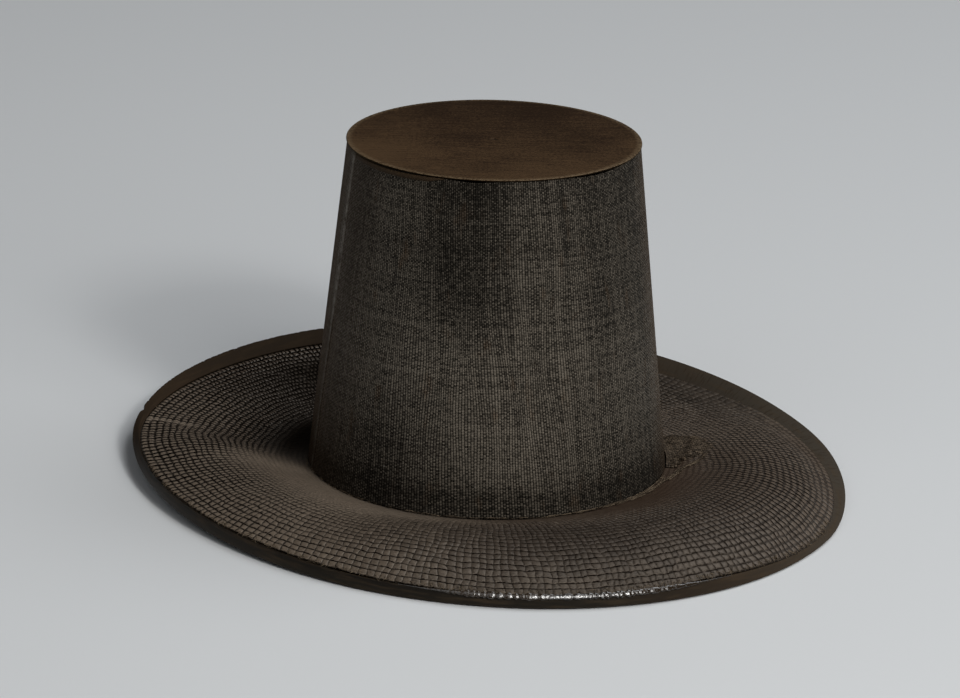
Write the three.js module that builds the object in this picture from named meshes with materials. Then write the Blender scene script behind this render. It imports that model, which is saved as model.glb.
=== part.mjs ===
// Lacquered hat with a horsehair crown and a woven split-bamboo brim.
// A tapered crown tube, closed by a flat disc, stands on a wide thin brim that has warped with age.
// A plain strip edges the brim: upright in front, flat at the left and turned up behind.
// Millimetres, +Z up, front of the hat towards -Y. The hat lies as it rests by itself.
import * as THREE from "three";

// Crown: a straight tapered wall, measured along its own axis from the brim's inner margin
const CROWN_BASE_RADIUS = 80;
const CROWN_TOP_RADIUS = 64.6;
const CROWN_HEIGHT = 147.3;
const CROWN_WALL = 1.5;
const CROWN_LEVELS = 4;

// Overlapped seam of the crown cloth, which drifts round a little on its way up
const SEAM_BASE_ANGLE = 194.5;
const SEAM_TOP_ANGLE = 199.5;
const SEAM_WIDTH = 4;
const SEAM_RAISE = 0.5;

// Disc that closes the crown
const TOP_RADIUS = 65.1;
const TOP_THICKNESS = 1.4;
const TOP_EDGE_ROUND = 0.4;
const TOP_SEGMENTS = 72;

// Brim sheet: a flat margin under the crown, then the warped weave out to the edge strip
const BRIM_SHEET = 1.5;
const BRIM_INNER_RADIUS = 77;
const BRIM_STEPS = 13;
const BRIM_DRIFT = 1.3;

// Edge strip
const STRIP_THICKNESS = 1.8;
const STRIP_BEVEL = 0.4;

// Clearance between neighbouring pieces, and stations round the hat
const GAP = 0.3;
const STATIONS = 96;

// Resting attitude: the crown's axis leans towards the rear left, and the crown's base centre
// lies at this place above the middle of the hat's footprint
const LEAN_ANGLE = 3.14;
const LEAN_TOWARDS = 153.7;
const CROWN_BASE_PLACE = new THREE.Vector3(-1.33, -1.93, 7.43);

// Height of the brim's upper face above the crown's base, at four radii in each row.
// Angles run anticlockwise from +X, so 270 is the front and 180 the left side.
const BRIM_RADII = [96, 113, 130, 145];
const BRIM_ROWS = [
  { angle: 0, heights: [0.8, 1.5, 0.5, -4.2] },
  { angle: 20, heights: [0.0, -0.2, -0.6, -4.0] },
  { angle: 40, heights: [-1.0, -2.6, -3.0, -3.8] },
  { angle: 60, heights: [-1.2, -2.6, -1.5, -0.2] },
  { angle: 90, heights: [-1.0, 0.0, 3.0, 5.0] },
  { angle: 120, heights: [-1.0, -0.6, 3.4, 7.7] },
  { angle: 135, heights: [-0.5, 0.5, 5.4, 8.7] },
  { angle: 150, heights: [0.0, 2.5, 7.2, 9.3] },
  { angle: 165, heights: [0.0, 3.0, 7.5, 9.7] },
  { angle: 175, heights: [0.5, 3.8, 8.6, 10.5] },
  { angle: 189, heights: [3.5, 9.8, 12.5, 11.6] },
  { angle: 200, heights: [4.2, 9.3, 10.8, 10.0] },
  { angle: 212, heights: [4.5, 8.8, 10.0, 8.2] },
  { angle: 228, heights: [4.6, 8.6, 9.5, 6.4] },
  { angle: 240, heights: [4.2, 7.6, 7.7, 4.5] },
  { angle: 252, heights: [4.6, 8.2, 8.0, 3.4] },
  { angle: 270, heights: [4.4, 7.4, 6.0, 0.5] },
  { angle: 290, heights: [4.2, 6.8, 5.4, -0.8] },
  { angle: 310, heights: [3.8, 6.0, 4.5, -1.6] },
  { angle: 330, heights: [2.8, 4.4, 2.4, -4.1] },
  { angle: 345, heights: [1.8, 3.1, 1.5, -4.5] },
];

// Edge strip: its inner edge meets the weave, its outer edge is free
const STRIP_ROWS = [
  { angle: 0, innerR: 153.6, innerZ: -8.8, outerR: 160.0, outerZ: -10.2 },
  { angle: 15, innerR: 151.8, innerZ: -6.9, outerR: 159.7, outerZ: -5.7 },
  { angle: 30, innerR: 151.5, innerZ: -5.0, outerR: 159.3, outerZ: -2.4 },
  { angle: 45, innerR: 151.5, innerZ: -3.4, outerR: 159.0, outerZ: 1.6 },
  { angle: 60, innerR: 152.0, innerZ: -0.6, outerR: 159.0, outerZ: 5.5 },
  { angle: 90, innerR: 152.5, innerZ: 6.0, outerR: 159.0, outerZ: 12.2 },
  { angle: 120, innerR: 152.5, innerZ: 9.9, outerR: 159.0, outerZ: 15.4 },
  { angle: 150, innerR: 153.0, innerZ: 10.6, outerR: 159.0, outerZ: 14.4 },
  { angle: 165, innerR: 154.0, innerZ: 11.0, outerR: 159.0, outerZ: 13.0 },
  { angle: 178, innerR: 156.0, innerZ: 10.7, outerR: 160.0, outerZ: 10.1 },
  { angle: 190, innerR: 156.6, innerZ: 10.0, outerR: 159.4, outerZ: 6.7 },
  { angle: 205, innerR: 156.4, innerZ: 7.5, outerR: 158.2, outerZ: 2.9 },
  { angle: 225, innerR: 155.4, innerZ: 3.1, outerR: 156.6, outerZ: -2.7 },
  { angle: 250, innerR: 155.2, innerZ: -2.6, outerR: 156.2, outerZ: -8.1 },
  { angle: 270, innerR: 155.2, innerZ: -6.0, outerR: 156.2, outerZ: -10.9 },
  { angle: 290, innerR: 155.2, innerZ: -8.2, outerR: 156.2, outerZ: -13.2 },
  { angle: 310, innerR: 155.2, innerZ: -9.5, outerR: 156.4, outerZ: -14.9 },
  { angle: 330, innerR: 156.0, innerZ: -12.2, outerR: 157.6, outerZ: -15.4 },
  { angle: 345, innerR: 155.8, innerZ: -12.2, outerR: 159.7, outerZ: -14.1 },
];

// Slope at the middle one of three neighbouring knots: that of the parabola through them
function knotSlope(before, here, after) {
  const spanIn = here.at - before.at;
  const spanOut = after.at - here.at;
  const riseIn = (here.value - before.value) / spanIn;
  const riseOut = (after.value - here.value) / spanOut;
  return (riseIn * spanOut + riseOut * spanIn) / (spanIn + spanOut);
}

// Hermite cubic between two knots with given end slopes
function hermite(start, end, startSlope, endSlope, at) {
  const span = end.at - start.at;
  const t = (at - start.at) / span;
  const s = 1 - t;
  const ends = start.value * s * s * (1 + 2 * t) + end.value * t * t * (1 + 2 * s);
  return ends + span * t * s * (startSlope * s - endSlope * t);
}

// Value of one column of a table at any angle, smooth and closed round the full turn
function roundTheHat(rows, column, angle) {
  const count = rows.length;
  const turned = ((angle % 360) + 360) % 360;
  const knot = (index) => {
    const lap = Math.floor(index / count);
    const row = rows[index - lap * count];
    return { at: row.angle + 360 * lap, value: column(row) };
  };
  let index = 0;
  while (index + 1 < count && rows[index + 1].angle <= turned) {
    index += 1;
  }
  const [before, start, end, after] = [knot(index - 1), knot(index), knot(index + 1), knot(index + 2)];
  return hermite(start, end, knotSlope(before, start, end), knotSlope(start, end, after), turned);
}

// Edge strip at one angle: its two edges and the unit normal of its visible face
function stripAt(angle) {
  const inner = {
    r: roundTheHat(STRIP_ROWS, (row) => row.innerR, angle),
    z: roundTheHat(STRIP_ROWS, (row) => row.innerZ, angle),
  };
  const outer = {
    r: roundTheHat(STRIP_ROWS, (row) => row.outerR, angle),
    z: roundTheHat(STRIP_ROWS, (row) => row.outerZ, angle),
  };
  const width = Math.hypot(outer.r - inner.r, outer.z - inner.z);
  const along = { r: (outer.r - inner.r) / width, z: (outer.z - inner.z) / width };
  return { inner, width, along, normal: { r: -along.z, z: along.r } };
}

// Height of the brim's upper face at one angle and radius, from the crown's foot to the strip
function brimHeight(angle, radius, strip) {
  if (radius <= CROWN_BASE_RADIUS) {
    return 0;
  }
  const knots = [{ at: CROWN_BASE_RADIUS, value: 0 }];
  BRIM_RADII.forEach((at, ring) => {
    knots.push({ at, value: roundTheHat(BRIM_ROWS, (row) => row.heights[ring], angle) });
  });
  knots.push({ at: strip.inner.r, value: strip.inner.z });
  let index = 0;
  while (index + 2 < knots.length && knots[index + 1].at <= radius) {
    index += 1;
  }
  const [start, end] = [knots[index], knots[index + 1]];
  const chord = (end.value - start.value) / (end.at - start.at);
  const startSlope = index > 0 ? knotSlope(knots[index - 1], start, end) : chord;
  const endSlope = index + 2 < knots.length ? knotSlope(start, end, knots[index + 2]) : chord;
  return hermite(start, end, startSlope, endSlope, radius);
}

// Closed ring: a section of [radius, height, turn] points, running anticlockwise in the half plane
// of each station angle, is carried round the axis; drift moves a point sideways along +X
function loftRing(angles, sectionAt, drift) {
  const sections = angles.map(sectionAt);
  const corners = sections[0].length;
  const positions = [];
  sections.forEach((section, station) => {
    section.forEach(([radius, height, turn]) => {
      const theta = THREE.MathUtils.degToRad(angles[station] + turn);
      positions.push(radius * Math.cos(theta) + drift(radius), radius * Math.sin(theta), height);
    });
  });
  const indices = [];
  for (let station = 0; station < angles.length; station += 1) {
    const next = (station + 1) % angles.length;
    for (let corner = 0; corner < corners; corner += 1) {
      const follow = (corner + 1) % corners;
      const [a, b] = [station * corners + corner, station * corners + follow];
      const [c, d] = [next * corners + follow, next * corners + corner];
      indices.push(a, c, b, a, d, c);
    }
  }
  const geometry = new THREE.BufferGeometry();
  geometry.setAttribute("position", new THREE.Float32BufferAttribute(positions, 3));
  geometry.setIndex(indices);
  geometry.computeVertexNormals();
  return geometry;
}

function evenAngles() {
  return Array.from({ length: STATIONS }, (unused, station) => (360 * station) / STATIONS);
}

// Crown wall: a tapered tube whose outer face steps out by the seam's raise across the overlap
function crownWallGeometry() {
  const halfSeam = THREE.MathUtils.radToDeg(SEAM_WIDTH / 2 / CROWN_BASE_RADIUS);
  const seamStep = THREE.MathUtils.radToDeg(SEAM_RAISE / CROWN_BASE_RADIUS);
  const seamAngles = [-halfSeam - seamStep, -halfSeam, halfSeam, halfSeam + seamStep];
  const clear = 360 / STATIONS / 2;
  const plain = evenAngles().filter((angle) => Math.abs(angle - SEAM_BASE_ANGLE) > halfSeam + clear);
  const angles = plain.concat(seamAngles.map((offset) => SEAM_BASE_ANGLE + offset));
  angles.sort((a, b) => a - b);
  const slope = (CROWN_BASE_RADIUS - CROWN_TOP_RADIUS) / CROWN_HEIGHT;
  const drift = SEAM_TOP_ANGLE - SEAM_BASE_ANGLE;
  const wallAt = (angle) => {
    const raise = Math.abs(angle - SEAM_BASE_ANGLE) < halfSeam + seamStep / 2 ? SEAM_RAISE : 0;
    const outside = [];
    const inside = [];
    for (let level = 0; level <= CROWN_LEVELS; level += 1) {
      const height = GAP + ((CROWN_HEIGHT - GAP) * level) / CROWN_LEVELS;
      const radius = CROWN_BASE_RADIUS - slope * height;
      const turn = (drift * height) / CROWN_HEIGHT;
      outside.push([radius + raise, height, turn]);
      inside.unshift([radius - CROWN_WALL, height, turn]);
    }
    return outside.concat(inside);
  };
  return loftRing(angles, wallAt, () => 0);
}

// Crown disc: flat on both faces, with a softened edge
function crownTopGeometry() {
  const base = CROWN_HEIGHT + GAP;
  const top = base + TOP_THICKNESS;
  const flat = TOP_RADIUS - TOP_EDGE_ROUND;
  const profile = [
    new THREE.Vector2(0, base),
    new THREE.Vector2(flat, base),
    new THREE.Vector2(TOP_RADIUS, base + TOP_EDGE_ROUND),
    new THREE.Vector2(TOP_RADIUS, top - TOP_EDGE_ROUND),
    new THREE.Vector2(flat, top),
    new THREE.Vector2(0, top),
  ];
  return new THREE.LatheGeometry(profile, TOP_SEGMENTS).rotateX(Math.PI / 2);
}

// Sideways drift of the brim: nothing at the crown, the full amount at the strip's outer edge
function brimDrift(radius) {
  const reach = STRIP_ROWS[0].outerR - CROWN_BASE_RADIUS;
  return (BRIM_DRIFT * Math.max(0, radius - CROWN_BASE_RADIUS)) / reach;
}

// Brim: the warped sheet, ending just short of the strip
function brimGeometry() {
  const sheetAt = (angle) => {
    const strip = stripAt(angle);
    const end = strip.inner.r - GAP - Math.max(0, STRIP_THICKNESS * strip.normal.r);
    const upper = [];
    const lower = [];
    for (let step = 0; step <= BRIM_STEPS; step += 1) {
      const across = Math.max(0, step - 1) / (BRIM_STEPS - 1);
      const weave = CROWN_BASE_RADIUS + (end - CROWN_BASE_RADIUS) * across;
      const radius = step === 0 ? BRIM_INNER_RADIUS : weave;
      const height = brimHeight(angle, radius, strip);
      upper.unshift([radius, height, 0]);
      lower.push([radius, height - BRIM_SHEET, 0]);
    }
    return lower.concat(upper);
  };
  return loftRing(evenAngles(), sheetAt, brimDrift);
}

// Edge strip: a flat band with bevelled free edge, its visible face on the inner-to-outer line
function brimRimGeometry() {
  const bandAt = (angle) => {
    const { inner, width, along, normal } = stripAt(angle);
    const place = (out, up) => [
      inner.r + along.r * out + normal.r * up,
      inner.z + along.z * out + normal.z * up,
      0,
    ];
    return [
      place(0, -STRIP_THICKNESS),
      place(width - STRIP_BEVEL, -STRIP_THICKNESS),
      place(width, STRIP_BEVEL - STRIP_THICKNESS),
      place(width, -STRIP_BEVEL),
      place(width - STRIP_BEVEL, 0),
      place(0, 0),
    ];
  };
  return loftRing(evenAngles(), bandAt, brimDrift);
}

function piece(name, geometry, color, roughness) {
  const material = new THREE.MeshStandardMaterial({ color, roughness, metalness: 0 });
  const mesh = new THREE.Mesh(geometry, material);
  mesh.name = name;
  return mesh;
}

const leanDirection = THREE.MathUtils.degToRad(LEAN_TOWARDS);
const leanAxis = new THREE.Vector3(-Math.sin(leanDirection), Math.cos(leanDirection), 0);

const leaned = new THREE.Group();
leaned.quaternion.setFromAxisAngle(leanAxis, THREE.MathUtils.degToRad(LEAN_ANGLE));
leaned.position.copy(CROWN_BASE_PLACE);
leaned.add(piece("crown_wall", crownWallGeometry(), 0x322e28, 0.6));
leaned.add(piece("crown_top", crownTopGeometry(), 0x372a1e, 0.55));
leaned.add(piece("brim", brimGeometry(), 0x4a443d, 0.65));
leaned.add(piece("brim_rim", brimRimGeometry(), 0x2a221b, 0.5));

const hat = new THREE.Group();
hat.add(leaned);

export default hat;
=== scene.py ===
"""Looks of a lacquered hat: a horsehair crown on a woven split-bamboo brim.

Surfaces are worked out in the crown's own frame, in millimetres: its origin is the centre of the
crown's foot, Z runs up the crown, and angles run anticlockwise from +X, so 270 degrees is the front
of the hat. CrownFrame carries them into the row frame, in metres.
"""

import logging
import math
from dataclasses import dataclass, field
from enum import Enum
from functools import cached_property
from typing import NamedTuple, Optional

import bpy
import numpy as np
from mathutils import Matrix, Vector


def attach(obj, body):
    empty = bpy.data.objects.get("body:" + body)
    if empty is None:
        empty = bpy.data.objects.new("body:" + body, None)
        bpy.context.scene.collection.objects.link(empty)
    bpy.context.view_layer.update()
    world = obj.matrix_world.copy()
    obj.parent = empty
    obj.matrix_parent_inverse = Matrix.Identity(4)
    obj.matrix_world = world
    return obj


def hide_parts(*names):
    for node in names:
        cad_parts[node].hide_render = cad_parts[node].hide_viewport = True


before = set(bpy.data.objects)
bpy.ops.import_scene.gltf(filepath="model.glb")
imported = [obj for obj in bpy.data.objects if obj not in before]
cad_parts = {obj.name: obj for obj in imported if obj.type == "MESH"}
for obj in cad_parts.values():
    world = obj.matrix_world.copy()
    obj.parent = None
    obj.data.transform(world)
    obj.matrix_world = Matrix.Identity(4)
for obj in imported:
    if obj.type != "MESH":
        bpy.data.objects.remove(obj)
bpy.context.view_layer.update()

LOG = logging.getLogger("hat")
Array = np.ndarray
Colour = tuple[float, float, float]
Socket = bpy.types.NodeSocket
MM = 0.001
TURN = 360.0

FOOT_RADIUS = 80.0
GAP = 0.3
WARP_THREADS = 408
WEFT_THREADS = 200
STRANDS = 282
RINGS = 27


class BrimRow(NamedTuple):
    """Height of the brim's upper face at four radii, at one angle round the hat."""

    angle: float
    at_96: float
    at_113: float
    at_130: float
    at_145: float


class StripRow(NamedTuple):
    """Inner and outer edge of the plain edge strip at one angle round the hat."""

    angle: float
    inner_r: float
    inner_z: float
    outer_r: float
    outer_z: float


BRIM_RADII = (96.0, 113.0, 130.0, 145.0)
BRIM_ROWS = (
    BrimRow(0, 0.8, 1.5, 0.5, -4.2),
    BrimRow(20, 0.0, -0.2, -0.6, -4.0),
    BrimRow(40, -1.0, -2.6, -3.0, -3.8),
    BrimRow(60, -1.2, -2.6, -1.5, -0.2),
    BrimRow(90, -1.0, 0.0, 3.0, 5.0),
    BrimRow(120, -1.0, -0.6, 3.4, 7.7),
    BrimRow(135, -0.5, 0.5, 5.4, 8.7),
    BrimRow(150, 0.0, 2.5, 7.2, 9.3),
    BrimRow(165, 0.0, 3.0, 7.5, 9.7),
    BrimRow(175, 0.5, 3.8, 8.6, 10.5),
    BrimRow(189, 3.5, 9.8, 12.5, 11.6),
    BrimRow(200, 4.2, 9.3, 10.8, 10.0),
    BrimRow(212, 4.5, 8.8, 10.0, 8.2),
    BrimRow(228, 4.6, 8.6, 9.5, 6.4),
    BrimRow(240, 4.2, 7.6, 7.7, 4.5),
    BrimRow(252, 4.6, 8.2, 8.0, 3.4),
    BrimRow(270, 4.4, 7.4, 6.0, 0.5),
    BrimRow(290, 4.2, 6.8, 5.4, -0.8),
    BrimRow(310, 3.8, 6.0, 4.5, -1.6),
    BrimRow(330, 2.8, 4.4, 2.4, -4.1),
    BrimRow(345, 1.8, 3.1, 1.5, -4.5),
)
STRIP_ROWS = (
    StripRow(0, 153.6, -8.8, 160.0, -10.2),
    StripRow(15, 151.8, -6.9, 159.7, -5.7),
    StripRow(30, 151.5, -5.0, 159.3, -2.4),
    StripRow(45, 151.5, -3.4, 159.0, 1.6),
    StripRow(60, 152.0, -0.6, 159.0, 5.5),
    StripRow(90, 152.5, 6.0, 159.0, 12.2),
    StripRow(120, 152.5, 9.9, 159.0, 15.4),
    StripRow(150, 153.0, 10.6, 159.0, 14.4),
    StripRow(165, 154.0, 11.0, 159.0, 13.0),
    StripRow(178, 156.0, 10.7, 160.0, 10.1),
    StripRow(190, 156.6, 10.0, 159.4, 6.7),
    StripRow(205, 156.4, 7.5, 158.2, 2.9),
    StripRow(225, 155.4, 3.1, 156.6, -2.7),
    StripRow(250, 155.2, -2.6, 156.2, -8.1),
    StripRow(270, 155.2, -6.0, 156.2, -10.9),
    StripRow(290, 155.2, -8.2, 156.2, -13.2),
    StripRow(310, 155.2, -9.5, 156.4, -14.9),
    StripRow(330, 156.0, -12.2, 157.6, -15.4),
    StripRow(345, 155.8, -12.2, 159.7, -14.1),
)


@dataclass(frozen=True)
class CrownFrame:
    """Where the crown's own frame stands in the row frame: leaned to one side, as the hat rests."""

    lean_deg: float = 3.14
    towards_deg: float = 153.7
    foot_mm: tuple[float, float, float] = (-1.33, -1.93, 7.43)

    def turn(self) -> Array:
        """Rotation by the lean about the level axis square to it.

        Returns:
            A 3 by 3 matrix.
        """
        towards = math.radians(self.towards_deg)
        axis = (-math.sin(towards), math.cos(towards), 0.0)
        return np.array(Matrix.Rotation(math.radians(self.lean_deg), 3, axis))

    def to_row(self, points_mm: Array) -> Array:
        """Points of the crown's frame, in millimetres, as points of the row frame, in metres."""
        return (points_mm @ self.turn().T + np.array(self.foot_mm)) * MM


CROWN_FRAME = CrownFrame()


def cubic_rows(knots: Array, values: Array, at: Array) -> Array:
    """Smooth curves through rows of knots.

    Between two knots each curve is a Hermite cubic. Its slope at an inner knot is that of the
    parabola through the knot and its two neighbours, and at an end knot that of the last chord.

    Args:
        knots: Places of the knots, rising along each row.
        values: Values at the knots.
        at: Places to evaluate, with as many rows as the knots.

    Returns:
        The values at those places.
    """
    spans = np.diff(knots, axis=1)
    rises = np.diff(values, axis=1) / spans
    both = spans[:, :-1] + spans[:, 1:]
    inner = (rises[:, :-1] * spans[:, 1:] + rises[:, 1:] * spans[:, :-1]) / both
    slopes = np.concatenate([rises[:, :1], inner, rises[:, -1:]], axis=1)
    index = (at[:, :, None] >= knots[:, None, 1:-1]).sum(axis=2)

    def pick(table: Array, step: int = 0) -> Array:
        """Entries of a table at each place's own stretch, or at the knot that ends it."""
        return np.take_along_axis(table, index + step, axis=1)

    span = pick(spans)
    t = (at - pick(knots)) / span
    s = 1 - t
    ends = pick(values) * s**2 * (1 + 2 * t) + pick(values, 1) * t**2 * (1 + 2 * s)
    return ends + span * t * s * (pick(slopes) * s - pick(slopes, 1) * t)


def smoothstep(low: float, high: float, value: Array) -> Array:
    """Soft step from 0 at low to 1 at high, 3t^2 - 2t^3 between them; low may be the larger one."""
    t = np.clip((value - low) / (high - low), 0.0, 1.0)
    return t * t * (3 - 2 * t)


class Arc(NamedTuple):
    """A stretch of the hat's round: the angle of its middle, and how far it runs to each side."""

    middle: float
    half: float

    def bump(self, angle: Array) -> Array:
        """Soft bump of height 1 over the stretch: a raised cosine of the way from its middle."""
        away = np.abs((angle - self.middle + TURN / 2) % TURN - TURN / 2)
        return 0.5 + 0.5 * np.cos(np.pi * np.clip(away / self.half, 0.0, 1.0))


def weighted(stretches: tuple, angle: Array) -> Array:
    """Sum of soft bumps over pairs of a stretch and its height."""
    return np.sum([height * arc.bump(angle) for arc, height in stretches], axis=0)


def polar(angle: Array, radius: Array, height: Array) -> Array:
    """Points at given angles in degrees, radii and heights, brought to one common shape."""
    theta = np.radians(angle)
    return np.stack(np.broadcast_arrays(radius * np.cos(theta), radius * np.sin(theta), height), axis=-1)


def grid_uv(along: Array, across: Array) -> Array:
    """Pattern places of a grid, from one line of places along it and one across it."""
    return np.stack(np.broadcast_arrays(along[:, None], across[None]), axis=-1)


class StripLine(NamedTuple):
    """The edge strip's two edges at many angles, with the direction and width between them."""

    inner_r: Array
    inner_z: Array
    along_r: Array
    along_z: Array
    width: Array


@dataclass(frozen=True)
class BrimForm:
    """The warped surface of the brim, from the crown's foot to the edge strip."""

    foot_radius: float = FOOT_RADIUS
    inner_radius: float = FOOT_RADIUS - 3.0
    sheet: float = 1.5
    gap: float = GAP
    strip_thickness: float = 1.8
    drift: float = 1.3
    lap: float = 1.3
    lap_arc: Arc = Arc(25.0, 80.0)
    arc_steps: int = 160

    def column(self, rows: tuple, name: str, angle: Array) -> Array:
        """One column of a table at any angles: a smooth curve that closes after a full turn.

        Args:
            rows: The table.
            name: The column's name.
            angle: Angles in degrees, of any shape.

        Returns:
            Values, shaped as the angles.
        """
        angles = np.array([row.angle for row in rows], float)
        values = np.array([getattr(row, name) for row in rows], float)
        laps = np.concatenate([angles[-2:] - TURN, angles, angles[:2] + TURN])
        wrapped = np.concatenate([values[-2:], values, values[:2]])
        flat = np.mod(np.ravel(angle), TURN)
        return cubic_rows(laps[None], wrapped[None], flat[None]).reshape(np.shape(angle))

    def strip(self, angle: Array) -> StripLine:
        """The edge strip's lines.

        Args:
            angle: Angles in degrees.

        Returns:
            The two edges as a line with its direction and width, at each angle.
        """
        inner_r, inner_z, outer_r, outer_z = (
            self.column(STRIP_ROWS, name, angle) for name in StripRow._fields[1:]
        )
        out, up = outer_r - inner_r, outer_z - inner_z
        width = np.hypot(out, up)
        return StripLine(inner_r, inner_z, out / width, up / width, width)

    def weave_end(self, angle: Array) -> Array:
        """Radius where the woven sheet stops: short of the strip, but lapped over it on the right."""
        return self.strip(angle).inner_r - self.gap + self.lap * self.lap_arc.bump(angle)

    def lapped(self, angle: Array) -> Array:
        """How far the sheet laps over the strip: fully in front, where it stands on edge, and right."""
        on_edge = np.clip(-self.strip(angle).along_z, 0.0, 1.0)
        return np.maximum(on_edge, self.lap_arc.bump(angle) ** 0.5)

    def height(self, angle: Array, radius: Array) -> Array:
        """Height of the upper face.

        At each angle the profile is a smooth curve through the crown's foot, the table's four radii
        and the strip's inner edge, and it is level under the crown.

        Args:
            angle: One angle for each row.
            radius: Radii, a row for each angle.

        Returns:
            Heights, shaped as the radii.
        """
        line = self.strip(angle)
        level = np.zeros_like(angle)
        knots = [level + self.foot_radius] + [level + r for r in BRIM_RADII] + [line.inner_r]
        rings = [self.column(BRIM_ROWS, name, angle) for name in BrimRow._fields[1:]]
        values = [level] + rings + [line.inner_z]
        outside = np.maximum(radius, self.foot_radius)
        return cubic_rows(np.stack(knots, 1), np.stack(values, 1), outside)

    def radius_at(self, angle: Array, share: Array) -> Array:
        """Radii at given shares of the way along the sheet's profile, measured on the surface.

        The profile's length is summed over short chords, and each share is found between two of
        the sums by a straight line.

        Args:
            angle: One angle for each row.
            share: Shares from 0 at the crown's foot to 1 at the sheet's end, a row for each angle.

        Returns:
            Radii, shaped as the shares.
        """
        steps = np.linspace(0.0, 1.0, self.arc_steps)
        fine = self.foot_radius + (self.weave_end(angle) - self.foot_radius)[:, None] * steps
        chords = np.hypot(np.diff(fine, axis=1), np.diff(self.height(angle, fine), axis=1))
        sums = np.concatenate([np.zeros((len(angle), 1)), np.cumsum(chords, axis=1)], axis=1)
        sums /= sums[:, -1:]
        wanted = np.clip(share, 0.0, 1.0)
        index = (wanted[:, :, None] > sums[:, None, 1:-1]).sum(axis=2)
        low = np.take_along_axis(sums, index, axis=1)
        high = np.take_along_axis(sums, index + 1, axis=1)
        start = np.take_along_axis(fine, index, axis=1)
        end = np.take_along_axis(fine, index + 1, axis=1)
        return start + (end - start) * (wanted - low) / (high - low)

    def place(self, angle: Array, radius: Array, height: Array) -> Array:
        """Points of the brim, with the small sideways drift that grows towards the edge.

        Args:
            angle: Angles in degrees.
            radius: Radii before the drift.
            height: Heights.

        Returns:
            Points in the crown's frame.
        """
        reach = STRIP_ROWS[0].outer_r - self.foot_radius
        points = polar(angle, radius, height)
        points[..., 0] += self.drift * np.maximum(0.0, radius - self.foot_radius) / reach
        return points

    def laid(self, angle: Array, radius: Array, lift: Array) -> Array:
        """Points that lie given lifts above the upper face."""
        ground = self.height(angle.ravel(), radius.reshape(-1, 1)).reshape(angle.shape)
        return self.place(angle, radius, ground + lift)


BRIM_FORM = BrimForm()


@dataclass
class Lattice:
    """A surface as a grid of points, with stations along the piece and places round its closed section.

    The uv has one more column than the points, and one more row where the stations form a ring, so
    that the pattern runs on across both joins.
    """

    points: Array
    uv: Array
    ring: bool = False
    capped: bool = False
    masks: dict[str, Array] = field(default_factory=dict)

    def mesh(self, name: str) -> bpy.types.Mesh:
        """A smooth mesh of the grid's quads, with its uv and masks, facing out.

        Args:
            name: Name of the new mesh.

        Returns:
            The mesh, in the row frame.
        """
        stations, across = self.points.shape[:2]
        steps = stations if self.ring else stations - 1
        i, j = np.meshgrid(np.arange(steps), np.arange(across), indexing="ij")
        corners_i = np.stack([i, i + 1, i + 1, i], axis=-1).reshape(-1, 4)
        corners_j = np.stack([j, j, j + 1, j + 1], axis=-1).reshape(-1, 4)
        quads = (corners_i % stations) * across + corners_j % across
        corner_uv = self.uv[corners_i, corners_j]
        ends = [np.arange(across)[::-1], np.arange(across) + (stations - 1) * across]
        caps = [end.tolist() for end in ends] if self.capped else []
        cap_uv = [self.uv[0, across - 1 :: -1], self.uv[-1, :across]] if self.capped else []
        points = CROWN_FRAME.to_row(self.points.reshape(-1, 3))
        if self.faces_in(points, quads):
            quads = quads[:, ::-1]
            corner_uv = corner_uv[:, ::-1]
            caps = [cap[::-1] for cap in caps]
            cap_uv = [uv[::-1] for uv in cap_uv]
        made = bpy.data.meshes.new(name)
        made.from_pydata(points.tolist(), [], quads.tolist() + caps)
        loops = np.concatenate([corner_uv.reshape(-1, 2)] + cap_uv)
        made.uv_layers.new(name="pattern").data.foreach_set("uv", loops.astype(np.float32).ravel())
        for mask, values in self.masks.items():
            layer = made.attributes.new(mask, "FLOAT", "POINT")
            layer.data.foreach_set("value", np.asarray(values, np.float32).ravel())
        smooth = np.ones(len(made.polygons), bool)
        smooth[len(quads) :] = False
        made.polygons.foreach_set("use_smooth", smooth)
        made.update()
        return made

    @staticmethod
    def faces_in(points: Array, quads: Array) -> bool:
        """Whether the quads enclose a negative volume, the sum of tetrahedra from the middle.

        Args:
            points: Points of the mesh.
            quads: Four point numbers for each face.

        Returns:
            Whether the faces point in.
        """
        corners = points[quads] - points.mean(axis=0)
        first = np.cross(corners[:, 1], corners[:, 2])
        second = np.cross(corners[:, 2], corners[:, 3])
        return float((corners[:, 0] * (first + second)).sum()) < 0.0


FIBRE_SIDE = (0.31, -0.22, 0.92)
FIBRE_TIP = 0.45


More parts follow.
